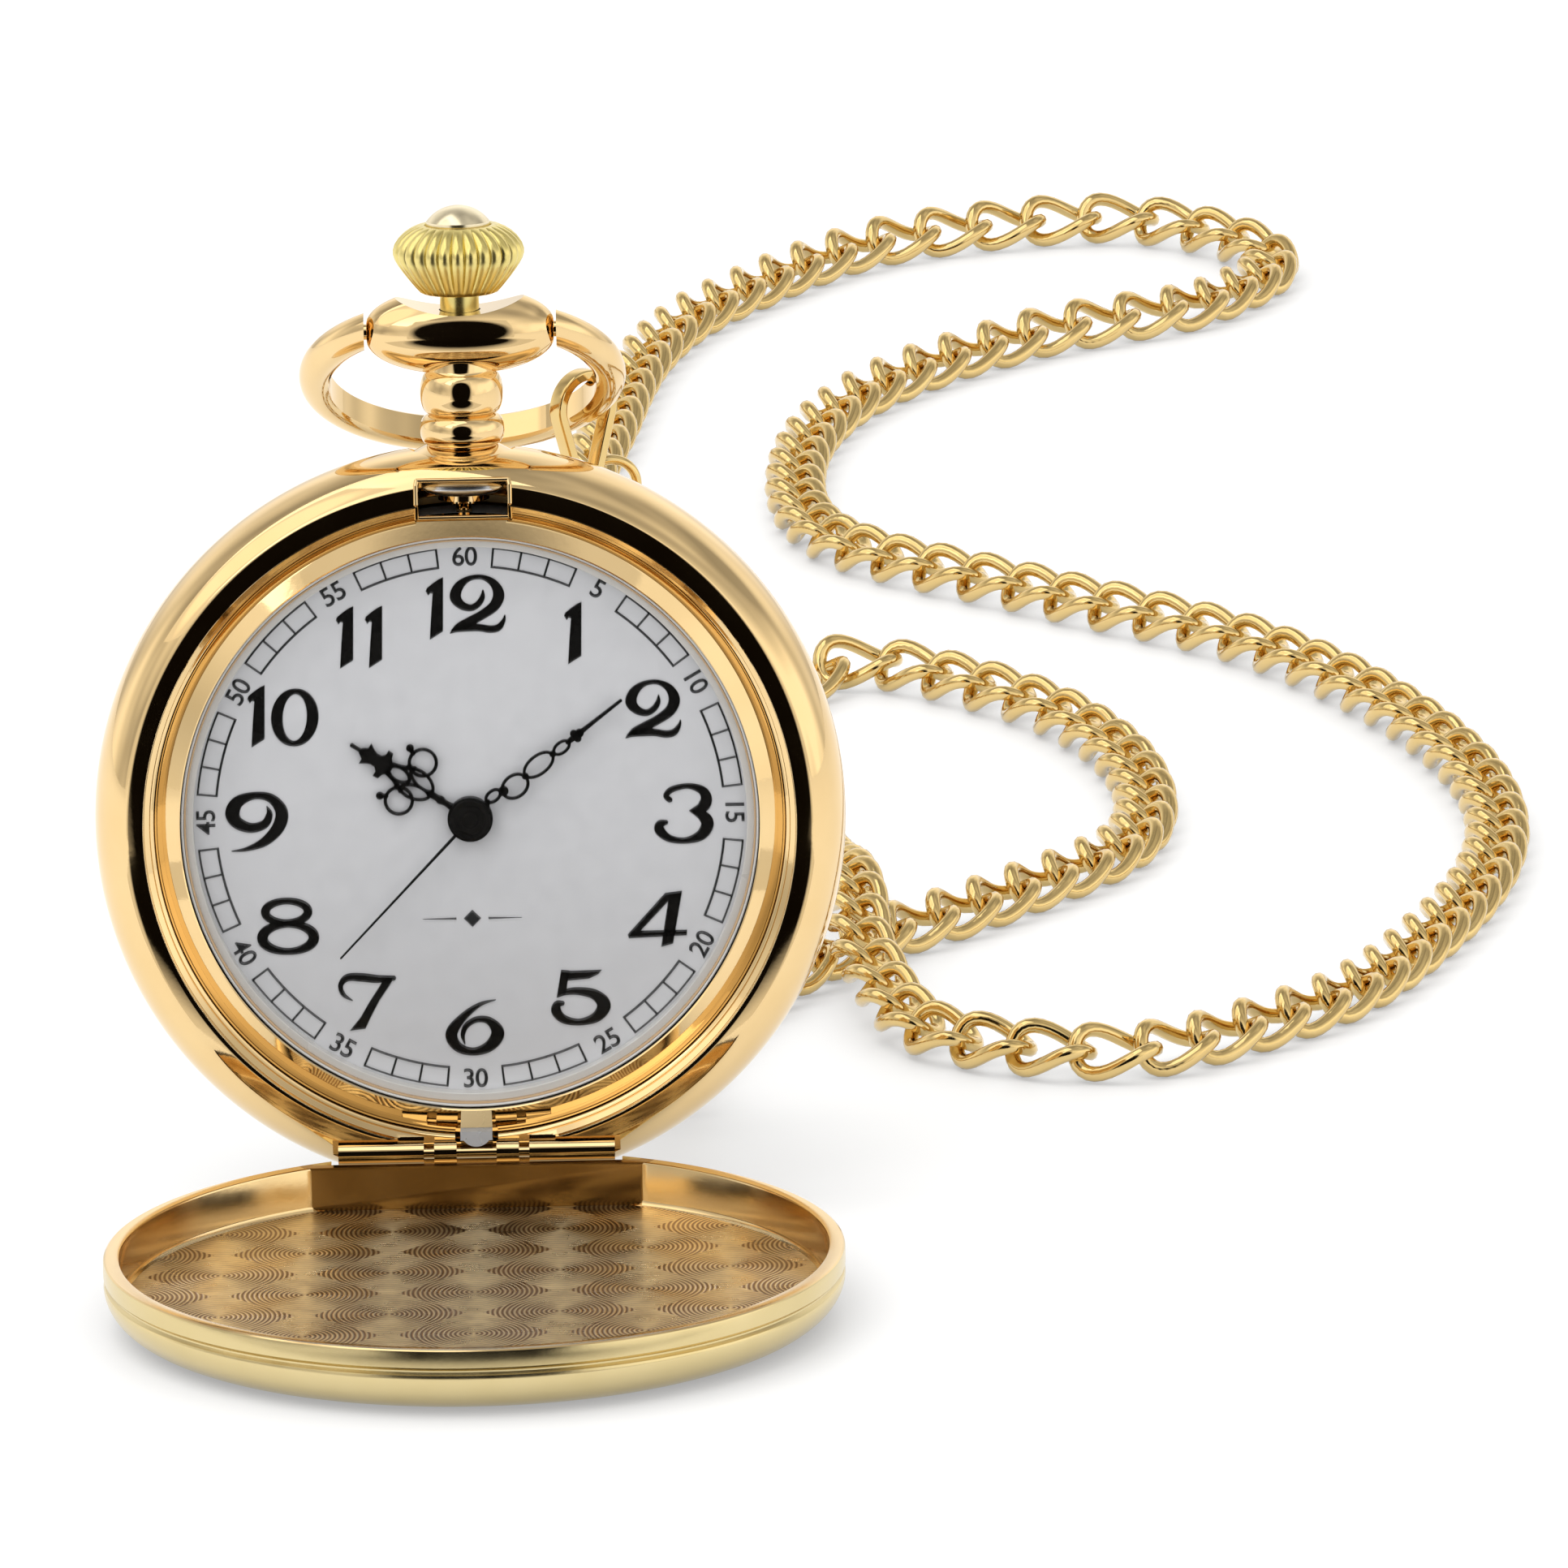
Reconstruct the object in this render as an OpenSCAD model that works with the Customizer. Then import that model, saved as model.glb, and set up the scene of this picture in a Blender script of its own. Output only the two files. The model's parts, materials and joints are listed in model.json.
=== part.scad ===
// Hunter-case pocket watch with an open front cover, a folded bow and a necklace chain.
// Origin: centre of the open cover's flat outer face. +Z is up, and the dial faces -Y.
// The watch is drawn lying on its back (12 towards +Y, dial towards +Z), then stood up.
// The cover is drawn closed over the dial, then swung open about the hinge.

/* [Case] */
// Radius of the case's outer roll
case_r = 23.5; // [23.4:0.05:23.6]
// Height of the mating plane above the case's middle
mate_z = 4.4; // [4.35:0.05:4.5]
// Lean of the watch away from upright, in degrees
lean = 5; // [4:0.5:6]

/* [Cover] */
// Radius of the cover's rim
cover_r = 22.9; // [22.8:0.05:23]
// Height of the cover above the mating plane
cover_h = 4.4; // [4.3:0.05:4.5]

/* [Hinge] */
// Distance of the hinge axis from the case's centre
hinge_y = 20.7; // [20.65:0.05:20.8]
// Radius of a hinge knuckle
knuckle_r = 0.75; // [0.7:0.05:0.75]
// Radius of the hinge pin
pin_r = 0.35; // [0.3:0.05:0.35]

/* [Pendant and bow] */
// Distance of the bow's pivot from the case's centre
pivot_y = 30.6; // [30.5:0.05:30.7]
// Radius of the bow's centreline
bow_r = 9.15; // [9.1:0.05:9.3]
// Radius of the bow's wire
wire_r = 1.1; // [1:0.05:1.15]
// Angle between the bow and upright, in degrees
bow_fold = 122.5; // [120:0.5:125]

/* [Crown] */
// Largest radius of the crown
crown_r = 4.15; // [4.1:0.05:4.3]
// Number of flutes round the crown
flutes = 28; // [24:2:32]

/* [Dial and hands] */
// Radius of the dial
dial_r = 18.4; // [18.3:0.05:18.45]
// Clockwise angle of the hour hand from 12
hour_deg = 303; // [0:1:359]
// Clockwise angle of the minute hand from 12
minute_deg = 52.5; // [0:0.5:359]
// Clockwise angle of the second hand from 12
second_deg = 223.8; // [0:0.2:359]

/* [Chain] */
// Width of the chain lying flat
chain_w = 4.4; // [4:0.1:4.6]
// Thickness of the chain lying flat
chain_t = 2.3; // [2:0.1:2.4]

/* [Hidden] */
$fn = 64;
e = 0.01;
gap = 0.05; // running clearance round a pin or a tube
hinge_z = mate_z - 0.4;
cover_z = mate_z + 0.05; // the cover's rim, just clear of the mating plane
cover_top = mate_z + cover_h;
back_z = -5.2;
axis_z = -0.7; // height of the stem's axis
stem_r = 0.5;
tube_r = 1.22;
dial_top = 0.7;
chord_y = 21.7; // flat cut of the case under the hinge
window_w = 5.7;
window_top = 21.4;
lug_in = 3.3; // inner end of a case knuckle
lug_out = 8.65; // outer end of a case knuckle
cover_lug = 2.65;
spring_slot = 1.25;

// The case's centre and the hinge in the standing frame, from the hinge on the lying cover
stand = 90 - lean;
hinge_at = [hinge_y, cover_top - hinge_z];
case_at = [
  hinge_at[0] + hinge_y * cos(stand) + hinge_z * sin(stand),
  hinge_at[1] + hinge_y * sin(stand) - hinge_z * cos(stand)
];

// ---- placing ----

module on_watch() {
  translate([0, case_at[0], case_at[1]]) rotate([stand, 0, 0]) children();
}

module on_cover() {
  translate([0, 0, cover_top]) rotate([180, 0, 0]) children();
}

// A solid of revolution about the stem: x is the radius and y the distance from the centre
module on_stem() {
  translate([0, 0, axis_z]) rotate([-90, 0, 0]) rotate_extrude() children();
}

module ring(r_in, r_out, z_low, z_high) {
  translate([0, 0, z_low]) difference() {
    cylinder(r = r_out, h = z_high - z_low);
    translate([0, 0, -1]) cylinder(r = r_in, h = z_high - z_low + 2);
  }
}

module stem_hole(r, from, to) {
  translate([0, from, axis_z]) rotate([-90, 0, 0]) cylinder(r = r, h = to - from);
}

module block(low, high) {
  translate(low) cube(high - low);
}

// ---- case ----

module case_profile() {
  roll = [for (t = [-68 : 8 : 80]) [case_r - 2.9 + 2.9 * cos(t), mate_z * sin(t)]];
  polygon(concat(
    [[20.0, 0.2], [20.0, -4.4], [20.15, -4.4], [20.15, -3.9], [20.85, -3.9], [20.85, -4.4], [21.4, -4.4]],
    roll,
    [[19.75, 4.1], [19.7, 2.7], [19.3, 2.7], [19.3, 0.2]]
  ));
}

module case_body() color("gold") on_watch() difference() {
  rotate_extrude($fn = 128) case_profile();
  // latch window at 12
  block([-window_w / 2, 18, -3], [window_w / 2, window_top, 6]);
  // pendant seat and stem hole
  stem_hole(3.4, 22, 26);
  stem_hole(stem_r + 0.06, 21, 23);
  // chord under the hinge, and the knuckles' recess
  block([-12, -26, -6], [12, -chord_y, 6]);
  block([-9, -26, hinge_z - 1], [9, -19.75, 6]);
  // slot for the lift spring
  block([-1.35, -20.2, 0.4], [1.35, -19, 6]);
}

module case_back() color("gold") on_watch() rotate_extrude($fn = 128) polygon([
  [0, back_z], [19.6, back_z], [20.6, -5.05], [21.2, -4.75], [21.35, -4.5], [19.9, -4.5],
  [19.9, -3.6], [19.35, -3.6], [19.35, -4.5], [0, -4.5]
]);

module back_gasket() color("dimgray") on_watch() ring(20.25, 20.75, -4.45, -3.95);

module bezel() color("gold") on_watch() rotate_extrude($fn = 128) polygon([
  [18.6, 0.3], [19.25, 0.3], [19.25, 2.6], [18.95, 2.75], [18.15, 2.05], [18.15, 0.8], [18.6, 0.8]
]);

module crystal_gasket() color("ivory") on_watch() ring(17.8, 18.1, 0.75, 2.15);

module crystal() {
  glass_r = 17.75;
  rim_z = 2.35;
  dome_h = 0.75;
  dome = [for (t = [10 : -1 : 0]) [glass_r * t / 10, rim_z + dome_h * (1 - t * t / 100)]];
  color([0.9, 0.95, 1, 0.3]) on_watch() rotate_extrude($fn = 128) {
    polygon(concat([[0, 2.05], [glass_r, 2.05]], dome));
  }
}

module dial() color("whitesmoke") on_watch() ring(1.3, dial_r, 0.2, dial_top);

// ---- movement ----

module holder_ring() color("white") on_watch() difference() {
  ring(13.1, 19.2, -3.4, 0.15);
  stem_hole(0.62, 12, 20);
}

module movement_plate() color("dimgray") on_watch() difference() {
  translate([0, 0, -3]) cylinder(r = 13, h = 3.15);
  translate([0, 0, -4]) cylinder(r = 1.3, h = 5);
  translate([-5.6, -4.6, -3.1]) cylinder(r = 4.9, h = 2.3);
  block([5, -8, -3.1], [8.2, 0, -0.7]);
  stem_hole(0.62, 15.5 - 4, 14);
}

module circuit_board() color("green") on_watch() difference() {
  translate([0, 0, -3.25]) cylinder(r = 12.4, h = 0.2);
  block([-14, -14, -4], [1.6, 14, 0]);
}

module drive_coil() color("orangered") on_watch() translate([6.6, -7.6, -1.9]) {
  rotate([-90, 0, 0]) cylinder(r = 1.05, h = 7.2);
}

module battery() color("silver") on_watch() translate([-5.6, -4.6, -2.95]) cylinder(r = 4.75, h = 2.05);

module battery_strap() color("goldenrod") on_watch() {
  block([-11, -5.6, -3.25], [1, -3.6, -3.02]);
}

// ---- pendant ----

module saddle_blank() {
  half = 5.85;
  translate([0, pivot_y, axis_z]) rotate([0, 90, 0]) rotate_extrude() polygon(concat(
    [[0, -half]],
    [for (t = [-80 : 10 : 80]) [0.75 + 2 * pow(cos(t), 0.8), half * sin(t) / sin(80)]],
    [[0, half]]
  ));
}

module bead(r_in, r_out, from, to) {
  mid = (from + to) / 2;
  polygon(concat(
    [[0, from], [r_in, from]],
    [for (t = [-80 : 20 : 80]) [r_in + (r_out - r_in) * cos(t), mid + (to - mid) * sin(t)]],
    [[r_in, to], [0, to]]
  ));
}

module neck() color("gold") on_watch() difference() {
  on_stem() {
    polygon([[0, 22], [3.4, 22], [3.4, 22.9], [2.9, 23.2], [2.6, 23.6], [0, 23.6]]);
    bead(2.1, 2.65, 23.4, 25.4);
    bead(2.1, 2.6, 25.4, 28.2);
    square([2.1, 29.5]);
  }
  saddle_blank();
  block([-4, -1, -5], [4, 22, 4]);
  stem_hole(stem_r + 0.06, 21, 26);
  stem_hole(tube_r + 0.08, 24, 34);
}

module saddle() color("gold") on_watch() difference() {
  saddle_blank();
  translate([0, 32 + 8.2, -6]) cylinder(r = 8.2, h = 12);
  stem_hole(tube_r + 0.08, 24, 36);
  for (side = [-1, 1]) translate([side * 5.6, pivot_y, axis_z]) rotate([0, 90, 0]) {
    cylinder(r = 0.56, h = 2, center = true);
  }
}

// ---- hinge and springs ----

module barrel(r, from, to) {
  translate([from, -hinge_y, hinge_z]) rotate([0, 90, 0]) cylinder(r = r, h = to - from);
}

module case_knuckles() color("gold") on_watch() for (side = [0, 1]) mirror([side, 0, 0]) difference() {
  union() {
    barrel(knuckle_r, lug_in, lug_out);
    block([lug_in, -hinge_y - 0.75, hinge_z - 1], [lug_out, -hinge_y + 0.75, hinge_z - 0.3]);
  }
  barrel(pin_r + gap, lug_in - 1, lug_out + 1);
}

module hinge_pin() color("goldenrod") on_watch() barrel(pin_r, -8.6, 8.6);

module lift_spring() color("slategray") on_watch() {
  block([-1, -19.6, 0.5], [1, -19.35, 4.2]);
  block([-1, -19.9, 3.95], [1, -19.5, 4.2]);
  intersection() {
    translate([0, -19.3, 3.95]) cylinder(r = 1, h = 0.25);
    block([-1, -20.4, 3], [1, -19.89, 5]);
  }
}

module latch_spring() color("silver") on_watch() intersection() {
  translate([0, 16.6, 0]) ring(4.15, 4.5, 1, 2.6);
  block([-2.5, 19, 0], [2.5, 22, 4]);
}

// ---- cover ----

module cover_profile() {
  band = [for (t = [90 : -9 : 0]) [19.4 + 3.5 * cos(t), 6.1 + (cover_top - 6.1) * sin(t)]];
  polygon(concat(
    [[0, cover_top]],
    band,
    [
      [cover_r - 0.3, 5.85], [cover_r, 5.65], [cover_r, cover_z + 0.15], [cover_r - 0.15, cover_z],
      [22, cover_z], [21.9, cover_z + 0.15], [21.9, 6.6], [21.1, 7.4], [0, 7.4]
    ]
  ));
}

module cover_shell() color("gold") on_cover() {
  difference() {
    rotate_extrude($fn = 128) cover_profile();
    block([-15, -26, 0], [15, -20.9, 12]);
    block([-9.1, -26, 0], [9.1, -20, 12]);
  }
  intersection() {
    block([-12, -20, cover_z], [12, -19.3, 7.45]);
    cylinder(r = cover_r - 0.5, h = 12);
  }
}

module cover_floor() color("goldenrod") on_cover() difference() {
  translate([0, 0, 7.2]) cylinder(r = 21, h = 0.2, $fn = 128);
  block([-15, -26, 0], [15, -19.28, 12]);
}

module cover_knuckle() color("gold") on_cover() for (side = [0, 1]) mirror([side, 0, 0]) difference() {
  union() {
    barrel(knuckle_r, spring_slot, cover_lug);
    block([spring_slot, -hinge_y, hinge_z + 0.45], [cover_lug, -20, hinge_z + 0.75]);
  }
  barrel(pin_r + gap, 0, cover_lug + 1);
}

// ---- bow and clasp ----

module bow() {
  reach = sqrt(bow_r * bow_r - 6.1 * 6.1);
  color("gold") on_watch() translate([0, pivot_y, axis_z]) rotate([-bow_fold, 0, 0]) {
    difference() {
      translate([0, reach, 0]) rotate_extrude($fn = 128) intersection() {
        translate([bow_r, 0]) circle(r = wire_r, $fn = 48);
        translate([bow_r - 0.75, -2]) square([2, 4]);
      }
      block([-6.1, -4, -3], [6.1, 3, 3]);
    }
    for (side = [-1, 1]) translate([side * 5.9, 0, 0]) rotate([0, 90, 0]) {
      cylinder(r = 0.5, h = 1.9, center = true, $fn = 24);
    }
  }
}

// Flat pear-shaped loop round the bow's wire, with an eye for the jump ring
module clasp_hook() {
  big = 2.4;
  small = 1.05;
  drop = 4.5; // from the big circle's centre to the eye
  lean_in = asin((big - small) / drop);
  half = 90 + lean_in;
  color("gold") translate([7.5, 39.43, 48.15]) rotate([0, 0, 41]) rotate([90, 0, 0]) translate([0, 0, -0.55]) {
    linear_extrude(height = 1.1) difference() {
      polygon(concat(
        [for (t = [-12 : 12]) big * [sin(t / 12 * half), cos(t / 12 * half)]],
        [for (t = [-5 : 5]) [-small * sin(t / 5 * (180 - half)), -drop - small * cos(t / 5 * (180 - half))]]
      ));
      circle(r = 1.72);
      translate([0, -drop]) circle(r = 0.5);
    }
  }
}

module jump_ring() color("gold") translate([9.1, 41, 42.6]) rotate([0, 0, 15]) rotate([90, 0, 0]) {
  rotate_extrude() translate([1.7, 0]) circle(r = 0.32, $fn = 24);
}

// ---- crown ----

module crown_tube() color("goldenrod") on_watch() difference() {
  stem_hole(tube_r, 25.2, 34.3);
  stem_hole(0.62, 24, 36);
}

module crown() color("khaki") on_watch() difference() {
  intersection() {
    on_stem() polygon([
      [0, 33], [2.1, 33], [2.5, 33.3], [3.2, 34.1], [3.8, 34.9], [crown_r - 0.03, 35.6],
      [crown_r, 35.9], [4.02, 36.3], [3.55, 36.9], [2.9, 37.4], [2.5, 37.55], [0, 37.55]
    ]);
    translate([0, 30, axis_z]) rotate([-90, 0, 0]) linear_extrude(height = 10) polygon([
      for (i = [0 : 2 * flutes - 1]) (crown_r + 0.02 - 0.3 * (i % 2))
        * [cos(i * 180 / flutes), sin(i * 180 / flutes)]
    ]);
  }
  stem_hole(tube_r + gap, 32, 34.4);
  stem_hole(stem_r + 0.06, 33, 37);
  stem_hole(2.05, 35.9, 39);
}

module push_button() color("wheat") on_watch() {
  cap_h = 1.0;
  cap_r = (1.98 * 1.98 + cap_h * cap_h) / (2 * cap_h);
  difference() {
    union() {
      stem_hole(1.98, 36.7, 37.5);
      intersection() {
        translate([0, 37.5 + cap_h - cap_r, axis_z]) sphere(r = cap_r);
        stem_hole(1.98, 37.5 - e, 39);
      }
    }
    stem_hole(stem_r, 36, 37.1);
  }
}

module setting_stem() color("goldenrod") on_watch() difference() {
  stem_hole(stem_r, 12.6, 37.1);
  // groove that the setting lever holds
  difference() {
    stem_hole(1, 14.6, 15.2);
    stem_hole(0.32, 14, 16);
  }
}

module stem_collar() color("goldenrod") on_watch() difference() {
  stem_hole(1.6, 20, 20.35);
  stem_hole(stem_r, 19, 22);
}

// ---- hands ----

module hand(angle, z, thick) {
  on_watch() rotate([0, 0, -angle]) translate([0, 0, z]) linear_extrude(height = thick) children();
}

module loop(x, y, r, w) {
  translate([x, y]) difference() {
    circle(r = r);
    circle(r = r - w);
  }
}

module hour_hand() color("black") hand(hour_deg, 0.95, 0.15) difference() {
  union() {
    circle(r = 1.42);
    polygon([[-0.3, 1], [0.3, 1], [0.16, 9 - 2.2], [0.5, 7.3], [0, 9], [-0.5, 7.3], [-0.16, 6.8]]);
    for (side = [-1, 1]) {
      loop(side * 1.15, 4.2, 1.05, 0.24);
      loop(side * 0.6, 5.5, 0.6, 0.2);
    }
  }
  circle(r = 1.1);
}

module hour_pipe() color("goldenrod") on_watch() ring(0.85, 1.1, -0.6, 1.1);

module minute_hand() color("black") hand(minute_deg, 1.25, 0.15) difference() {
  union() {
    circle(r = 1.42);
    polygon([[-0.22, 1], [0.22, 1], [0.2, 3], [0.12, 8.5], [0, 12.1], [-0.12, 8.5], [-0.2, 3]]);
    loop(0, 3.2, 0.75, 0.22);
    loop(0, 5, 0.62, 0.2);
    loop(0, 6.5, 0.5, 0.18);
  }
  circle(r = 0.78);
}

module cannon_pinion() color("goldenrod") on_watch() ring(0.5, 0.78, -1, 1.4);

module second_hand() color("black") hand(second_deg, 1.55, 0.1) difference() {
  union() {
    circle(r = 0.9);
    polygon([[-0.14, 0.5], [0.14, 0.5], [0.05, 12], [-0.05, 12]]);
  }
  circle(r = 0.42);
}

module second_arbor() color("goldenrod") on_watch() translate([0, 0, -1.2]) {
  cylinder(r = 0.42, h = 2.85, $fn = 32);
}

module hand_cap() color("black") on_watch() translate([0, 0, 1.65]) cylinder(r = 0.8, h = 0.18);

// ---- chain ----

// Height of the chain's centre where it lies on the table
rest = 1.2;
// Route of the chain's centre, from one end on the bow's clasp to the other
ROUTE = [
  [6.5, 41, 40], [6.5, 41, 14], [6.5, 44, 5], [6.5, 52, rest], [6.5, 64, rest],
  [6, 150, rest], [7, 222, rest], [16, 266, rest], [31, 285, rest], [47, 288, rest],
  [56, 277, rest], [51, 262, rest], [38, 252, rest], [26, 236, rest], [21, 214, rest],
  [24, 191, rest], [38, 175, rest], [52, 160, rest], [62, 139, rest], [67, 112, rest],
  [62, 83, rest], [52, 62, rest], [40, 53, rest], [30, 58, rest], [25, 72, 2.8],
  [24, 86, 4.2], [22, 106, rest], [17, 139, rest], [25, 156, rest], [35, 147, rest],
  [43, 127, rest], [42, 106, rest], [33, 92, rest], [22, 79, rest], [15, 64, rest],
  [12.5, 53, rest], [12.5, 46, 4], [12.5, 42, 10], [12.5, 41, 18], [12, 41, 40]
];
ring_step = 11; // distance between the tube's rings
sides = 8;
last = len(ROUTE) - 1;

// Velocity of the smooth curve at route point i, per millimetre of chord
function slope(i) = let (
    a = i > 0 ? ROUTE[i] - ROUTE[i - 1] : ROUTE[1] - ROUTE[0],
    b = i < last ? ROUTE[i + 1] - ROUTE[i] : ROUTE[last] - ROUTE[last - 1]
  ) (a / norm(a) * norm(b) + b / norm(b) * norm(a)) / (norm(a) + norm(b));

// Hermite curve between route points i and i + 1, kept on the table
function along(i, t) = let (
    d = norm(ROUTE[i + 1] - ROUTE[i]),
    p = (2 * pow(t, 3) - 3 * t * t + 1) * ROUTE[i] + (3 * t * t - 2 * pow(t, 3)) * ROUTE[i + 1]
      + d * (pow(t, 3) - 2 * t * t + t) * slope(i) + d * (pow(t, 3) - t * t) * slope(i + 1)
  ) [p[0], p[1], max(p[2], rest)];

function unit(v) = v / norm(v);

module chain() {
  line = concat([for (i = [0 : last - 1])
    let (n = max(1, round(norm(ROUTE[i + 1] - ROUTE[i]) / ring_step)))
    for (k = [0 : n - 1]) along(i, k / n)], [ROUTE[last]]);
  count = len(line);
  points = [for (j = [0 : count - 1]) let (
      dir = unit(line[min(j + 1, count - 1)] - line[max(j - 1, 0)]),
      level = norm([dir[0], dir[1]]) > 0.3 ? [dir[0], dir[1]] : [0, j < count / 2 ? 1 : -1],
      side = unit([level[1], -level[0], 0]),
      up = cross(side, dir)
    ) for (k = [0 : sides - 1])
      line[j] + chain_w / 2 * cos(k * 360 / sides) * side + chain_t / 2 * sin(k * 360 / sides) * up];
  walls = [for (j = [0 : count - 2]) for (k = [0 : sides - 1])
    [j * sides + k, j * sides + (k + 1) % sides, (j + 1) * sides + (k + 1) % sides, (j + 1) * sides + k]];
  ends = [[for (k = [sides - 1 : -1 : 0]) k], [for (k = [0 : sides - 1]) (count - 1) * sides + k]];
  color("gold") polyhedron(points = points, faces = concat(walls, ends), convexity = 10);
}

case_body();
case_back();
back_gasket();
bezel();
crystal_gasket();
crystal();
dial();
holder_ring();
movement_plate();
circuit_board();
drive_coil();
battery();
battery_strap();
neck();
saddle();
case_knuckles();
hinge_pin();
lift_spring();
latch_spring();
cover_shell();
cover_floor();
cover_knuckle();
bow();
clasp_hook();
jump_ring();
crown_tube();
crown();
push_button();
setting_stem();
stem_collar();
hour_hand();
hour_pipe();
minute_hand();
cannon_pinion();
second_hand();
second_arbor();
hand_cap();
chain();
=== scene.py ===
"""Pocket watch standing open on its front cover, with its necklace chain on the table behind it."""

import json
import math
import random

import bmesh
import bpy
from mathutils import Matrix, Vector


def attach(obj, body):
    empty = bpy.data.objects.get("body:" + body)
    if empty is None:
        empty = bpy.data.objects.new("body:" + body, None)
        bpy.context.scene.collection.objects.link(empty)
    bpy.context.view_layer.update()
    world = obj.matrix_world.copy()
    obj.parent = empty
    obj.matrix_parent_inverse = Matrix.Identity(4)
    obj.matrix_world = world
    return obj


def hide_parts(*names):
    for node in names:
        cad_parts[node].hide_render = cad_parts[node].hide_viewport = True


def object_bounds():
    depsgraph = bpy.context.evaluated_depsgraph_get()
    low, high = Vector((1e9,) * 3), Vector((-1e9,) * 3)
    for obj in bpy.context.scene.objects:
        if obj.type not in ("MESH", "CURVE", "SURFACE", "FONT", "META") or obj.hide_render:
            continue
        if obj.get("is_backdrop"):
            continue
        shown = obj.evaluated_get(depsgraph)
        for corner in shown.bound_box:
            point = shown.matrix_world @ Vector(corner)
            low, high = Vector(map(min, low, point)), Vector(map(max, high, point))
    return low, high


MM = 0.001
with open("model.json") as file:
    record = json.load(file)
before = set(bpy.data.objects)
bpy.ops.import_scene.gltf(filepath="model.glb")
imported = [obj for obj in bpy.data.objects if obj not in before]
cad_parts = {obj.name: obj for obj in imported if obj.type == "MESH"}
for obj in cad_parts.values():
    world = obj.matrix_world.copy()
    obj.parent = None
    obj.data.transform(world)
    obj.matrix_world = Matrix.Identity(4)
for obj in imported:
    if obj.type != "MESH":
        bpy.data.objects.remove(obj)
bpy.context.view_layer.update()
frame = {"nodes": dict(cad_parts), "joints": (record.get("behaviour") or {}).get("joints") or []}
scene = bpy.context.scene
random.seed(7)

# ---- drawing frames in millimetres: the watch on its back, and its cover right way up ----

joints = {j["name"]: j for j in frame["joints"]}
toward_12 = Vector(joints["crown_pull"]["axis"]).normalized()
inward = Vector(joints["second_turn"]["axis"]).normalized()
HAND_Z = 1.6  # height of the second hand's joint over the case's middle
dial_centre = Vector(joints["second_turn"]["pos_m"]) + inward * HAND_Z * MM
turn = Matrix((Vector((1, 0, 0)), toward_12, -inward)).transposed().to_4x4()
WATCH = Matrix.Translation(dial_centre) @ turn @ Matrix.Scale(MM, 4)
COVER_TOP = 8.8  # the cover's thickness, and so the height of its own origin over the table
COVER = Matrix.Translation((0, 0, COVER_TOP * MM)) @ Matrix.Rotation(math.pi, 4,
                                                                     "X") @ Matrix.Scale(MM, 4)
WORLD = Matrix.Scale(MM, 4)
STEM_Z = -0.7  # height of the stem's axis
PIVOT_Y = 30.6  # distance of the bow's pivot from the dial's centre
BOW_FOLD = math.radians(-122.5)
STEM = WATCH @ Matrix.Translation((0, 0, STEM_Z)) @ Matrix.Rotation(-math.pi / 2, 4, "X")
BOW = WATCH @ Matrix.Translation((0, PIVOT_Y, STEM_Z)) @ Matrix.Rotation(BOW_FOLD, 4, "X")


# ---- shader helpers ----

def new_material(name):
    material = bpy.data.materials.new(name)
    material.use_nodes = True
    return material, material.node_tree.nodes, material.node_tree.links


def math_node(tree, operation, *values):
    node = tree.nodes.new("ShaderNodeMath")
    node.operation = operation
    for i, value in enumerate(values):
        if isinstance(value, (int, float)):
            node.inputs[i].default_value = value
        else:
            tree.links.new(value, node.inputs[i])
    return node.outputs[0]


def noise(tree, scale, detail=3.0, stretch=None):
    place = tree.nodes.new("ShaderNodeTexCoord")
    texture = tree.nodes.new("ShaderNodeTexNoise")
    texture.inputs["Scale"].default_value = scale
    texture.inputs["Detail"].default_value = detail
    source = place.outputs["Object"]
    if stretch:
        mapping = tree.nodes.new("ShaderNodeMapping")
        mapping.inputs["Scale"].default_value = stretch
        tree.links.new(source, mapping.inputs["Vector"])
        source = mapping.outputs[0]
    tree.links.new(source, texture.inputs["Vector"])
    return texture.outputs["Fac"]


def distance(tree, x, y):
    squares = [math_node(tree, "MULTIPLY", value, value) for value in (x, y)]
    return math_node(tree, "SQRT", math_node(tree, "ADD", *squares))


def spread(tree, value, low, high, start=0.3, end=0.7):
    """Maps start to end onto low to high. The defaults are most of a noise's range."""
    node = tree.nodes.new("ShaderNodeMapRange")
    node.inputs["From Min"].default_value = start
    node.inputs["From Max"].default_value = end
    node.inputs["To Min"].default_value = low
    node.inputs["To Max"].default_value = high
    tree.links.new(value, node.inputs["Value"])
    return node.outputs["Result"]


def blend_colours(tree, value, first, second):
    node = tree.nodes.new("ShaderNodeMix")
    node.data_type = "RGBA"
    node.inputs["A"].default_value = (*first, 1)
    node.inputs["B"].default_value = (*second, 1)
    tree.links.new(value, node.inputs["Factor"])
    return node.outputs["Result"]


def bump(tree, height, strength, distance):
    node = tree.nodes.new("ShaderNodeBump")
    node.inputs["Strength"].default_value = strength
    node.inputs["Distance"].default_value = distance
    tree.links.new(height, node.inputs["Height"])
    return node.outputs["Normal"]


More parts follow.
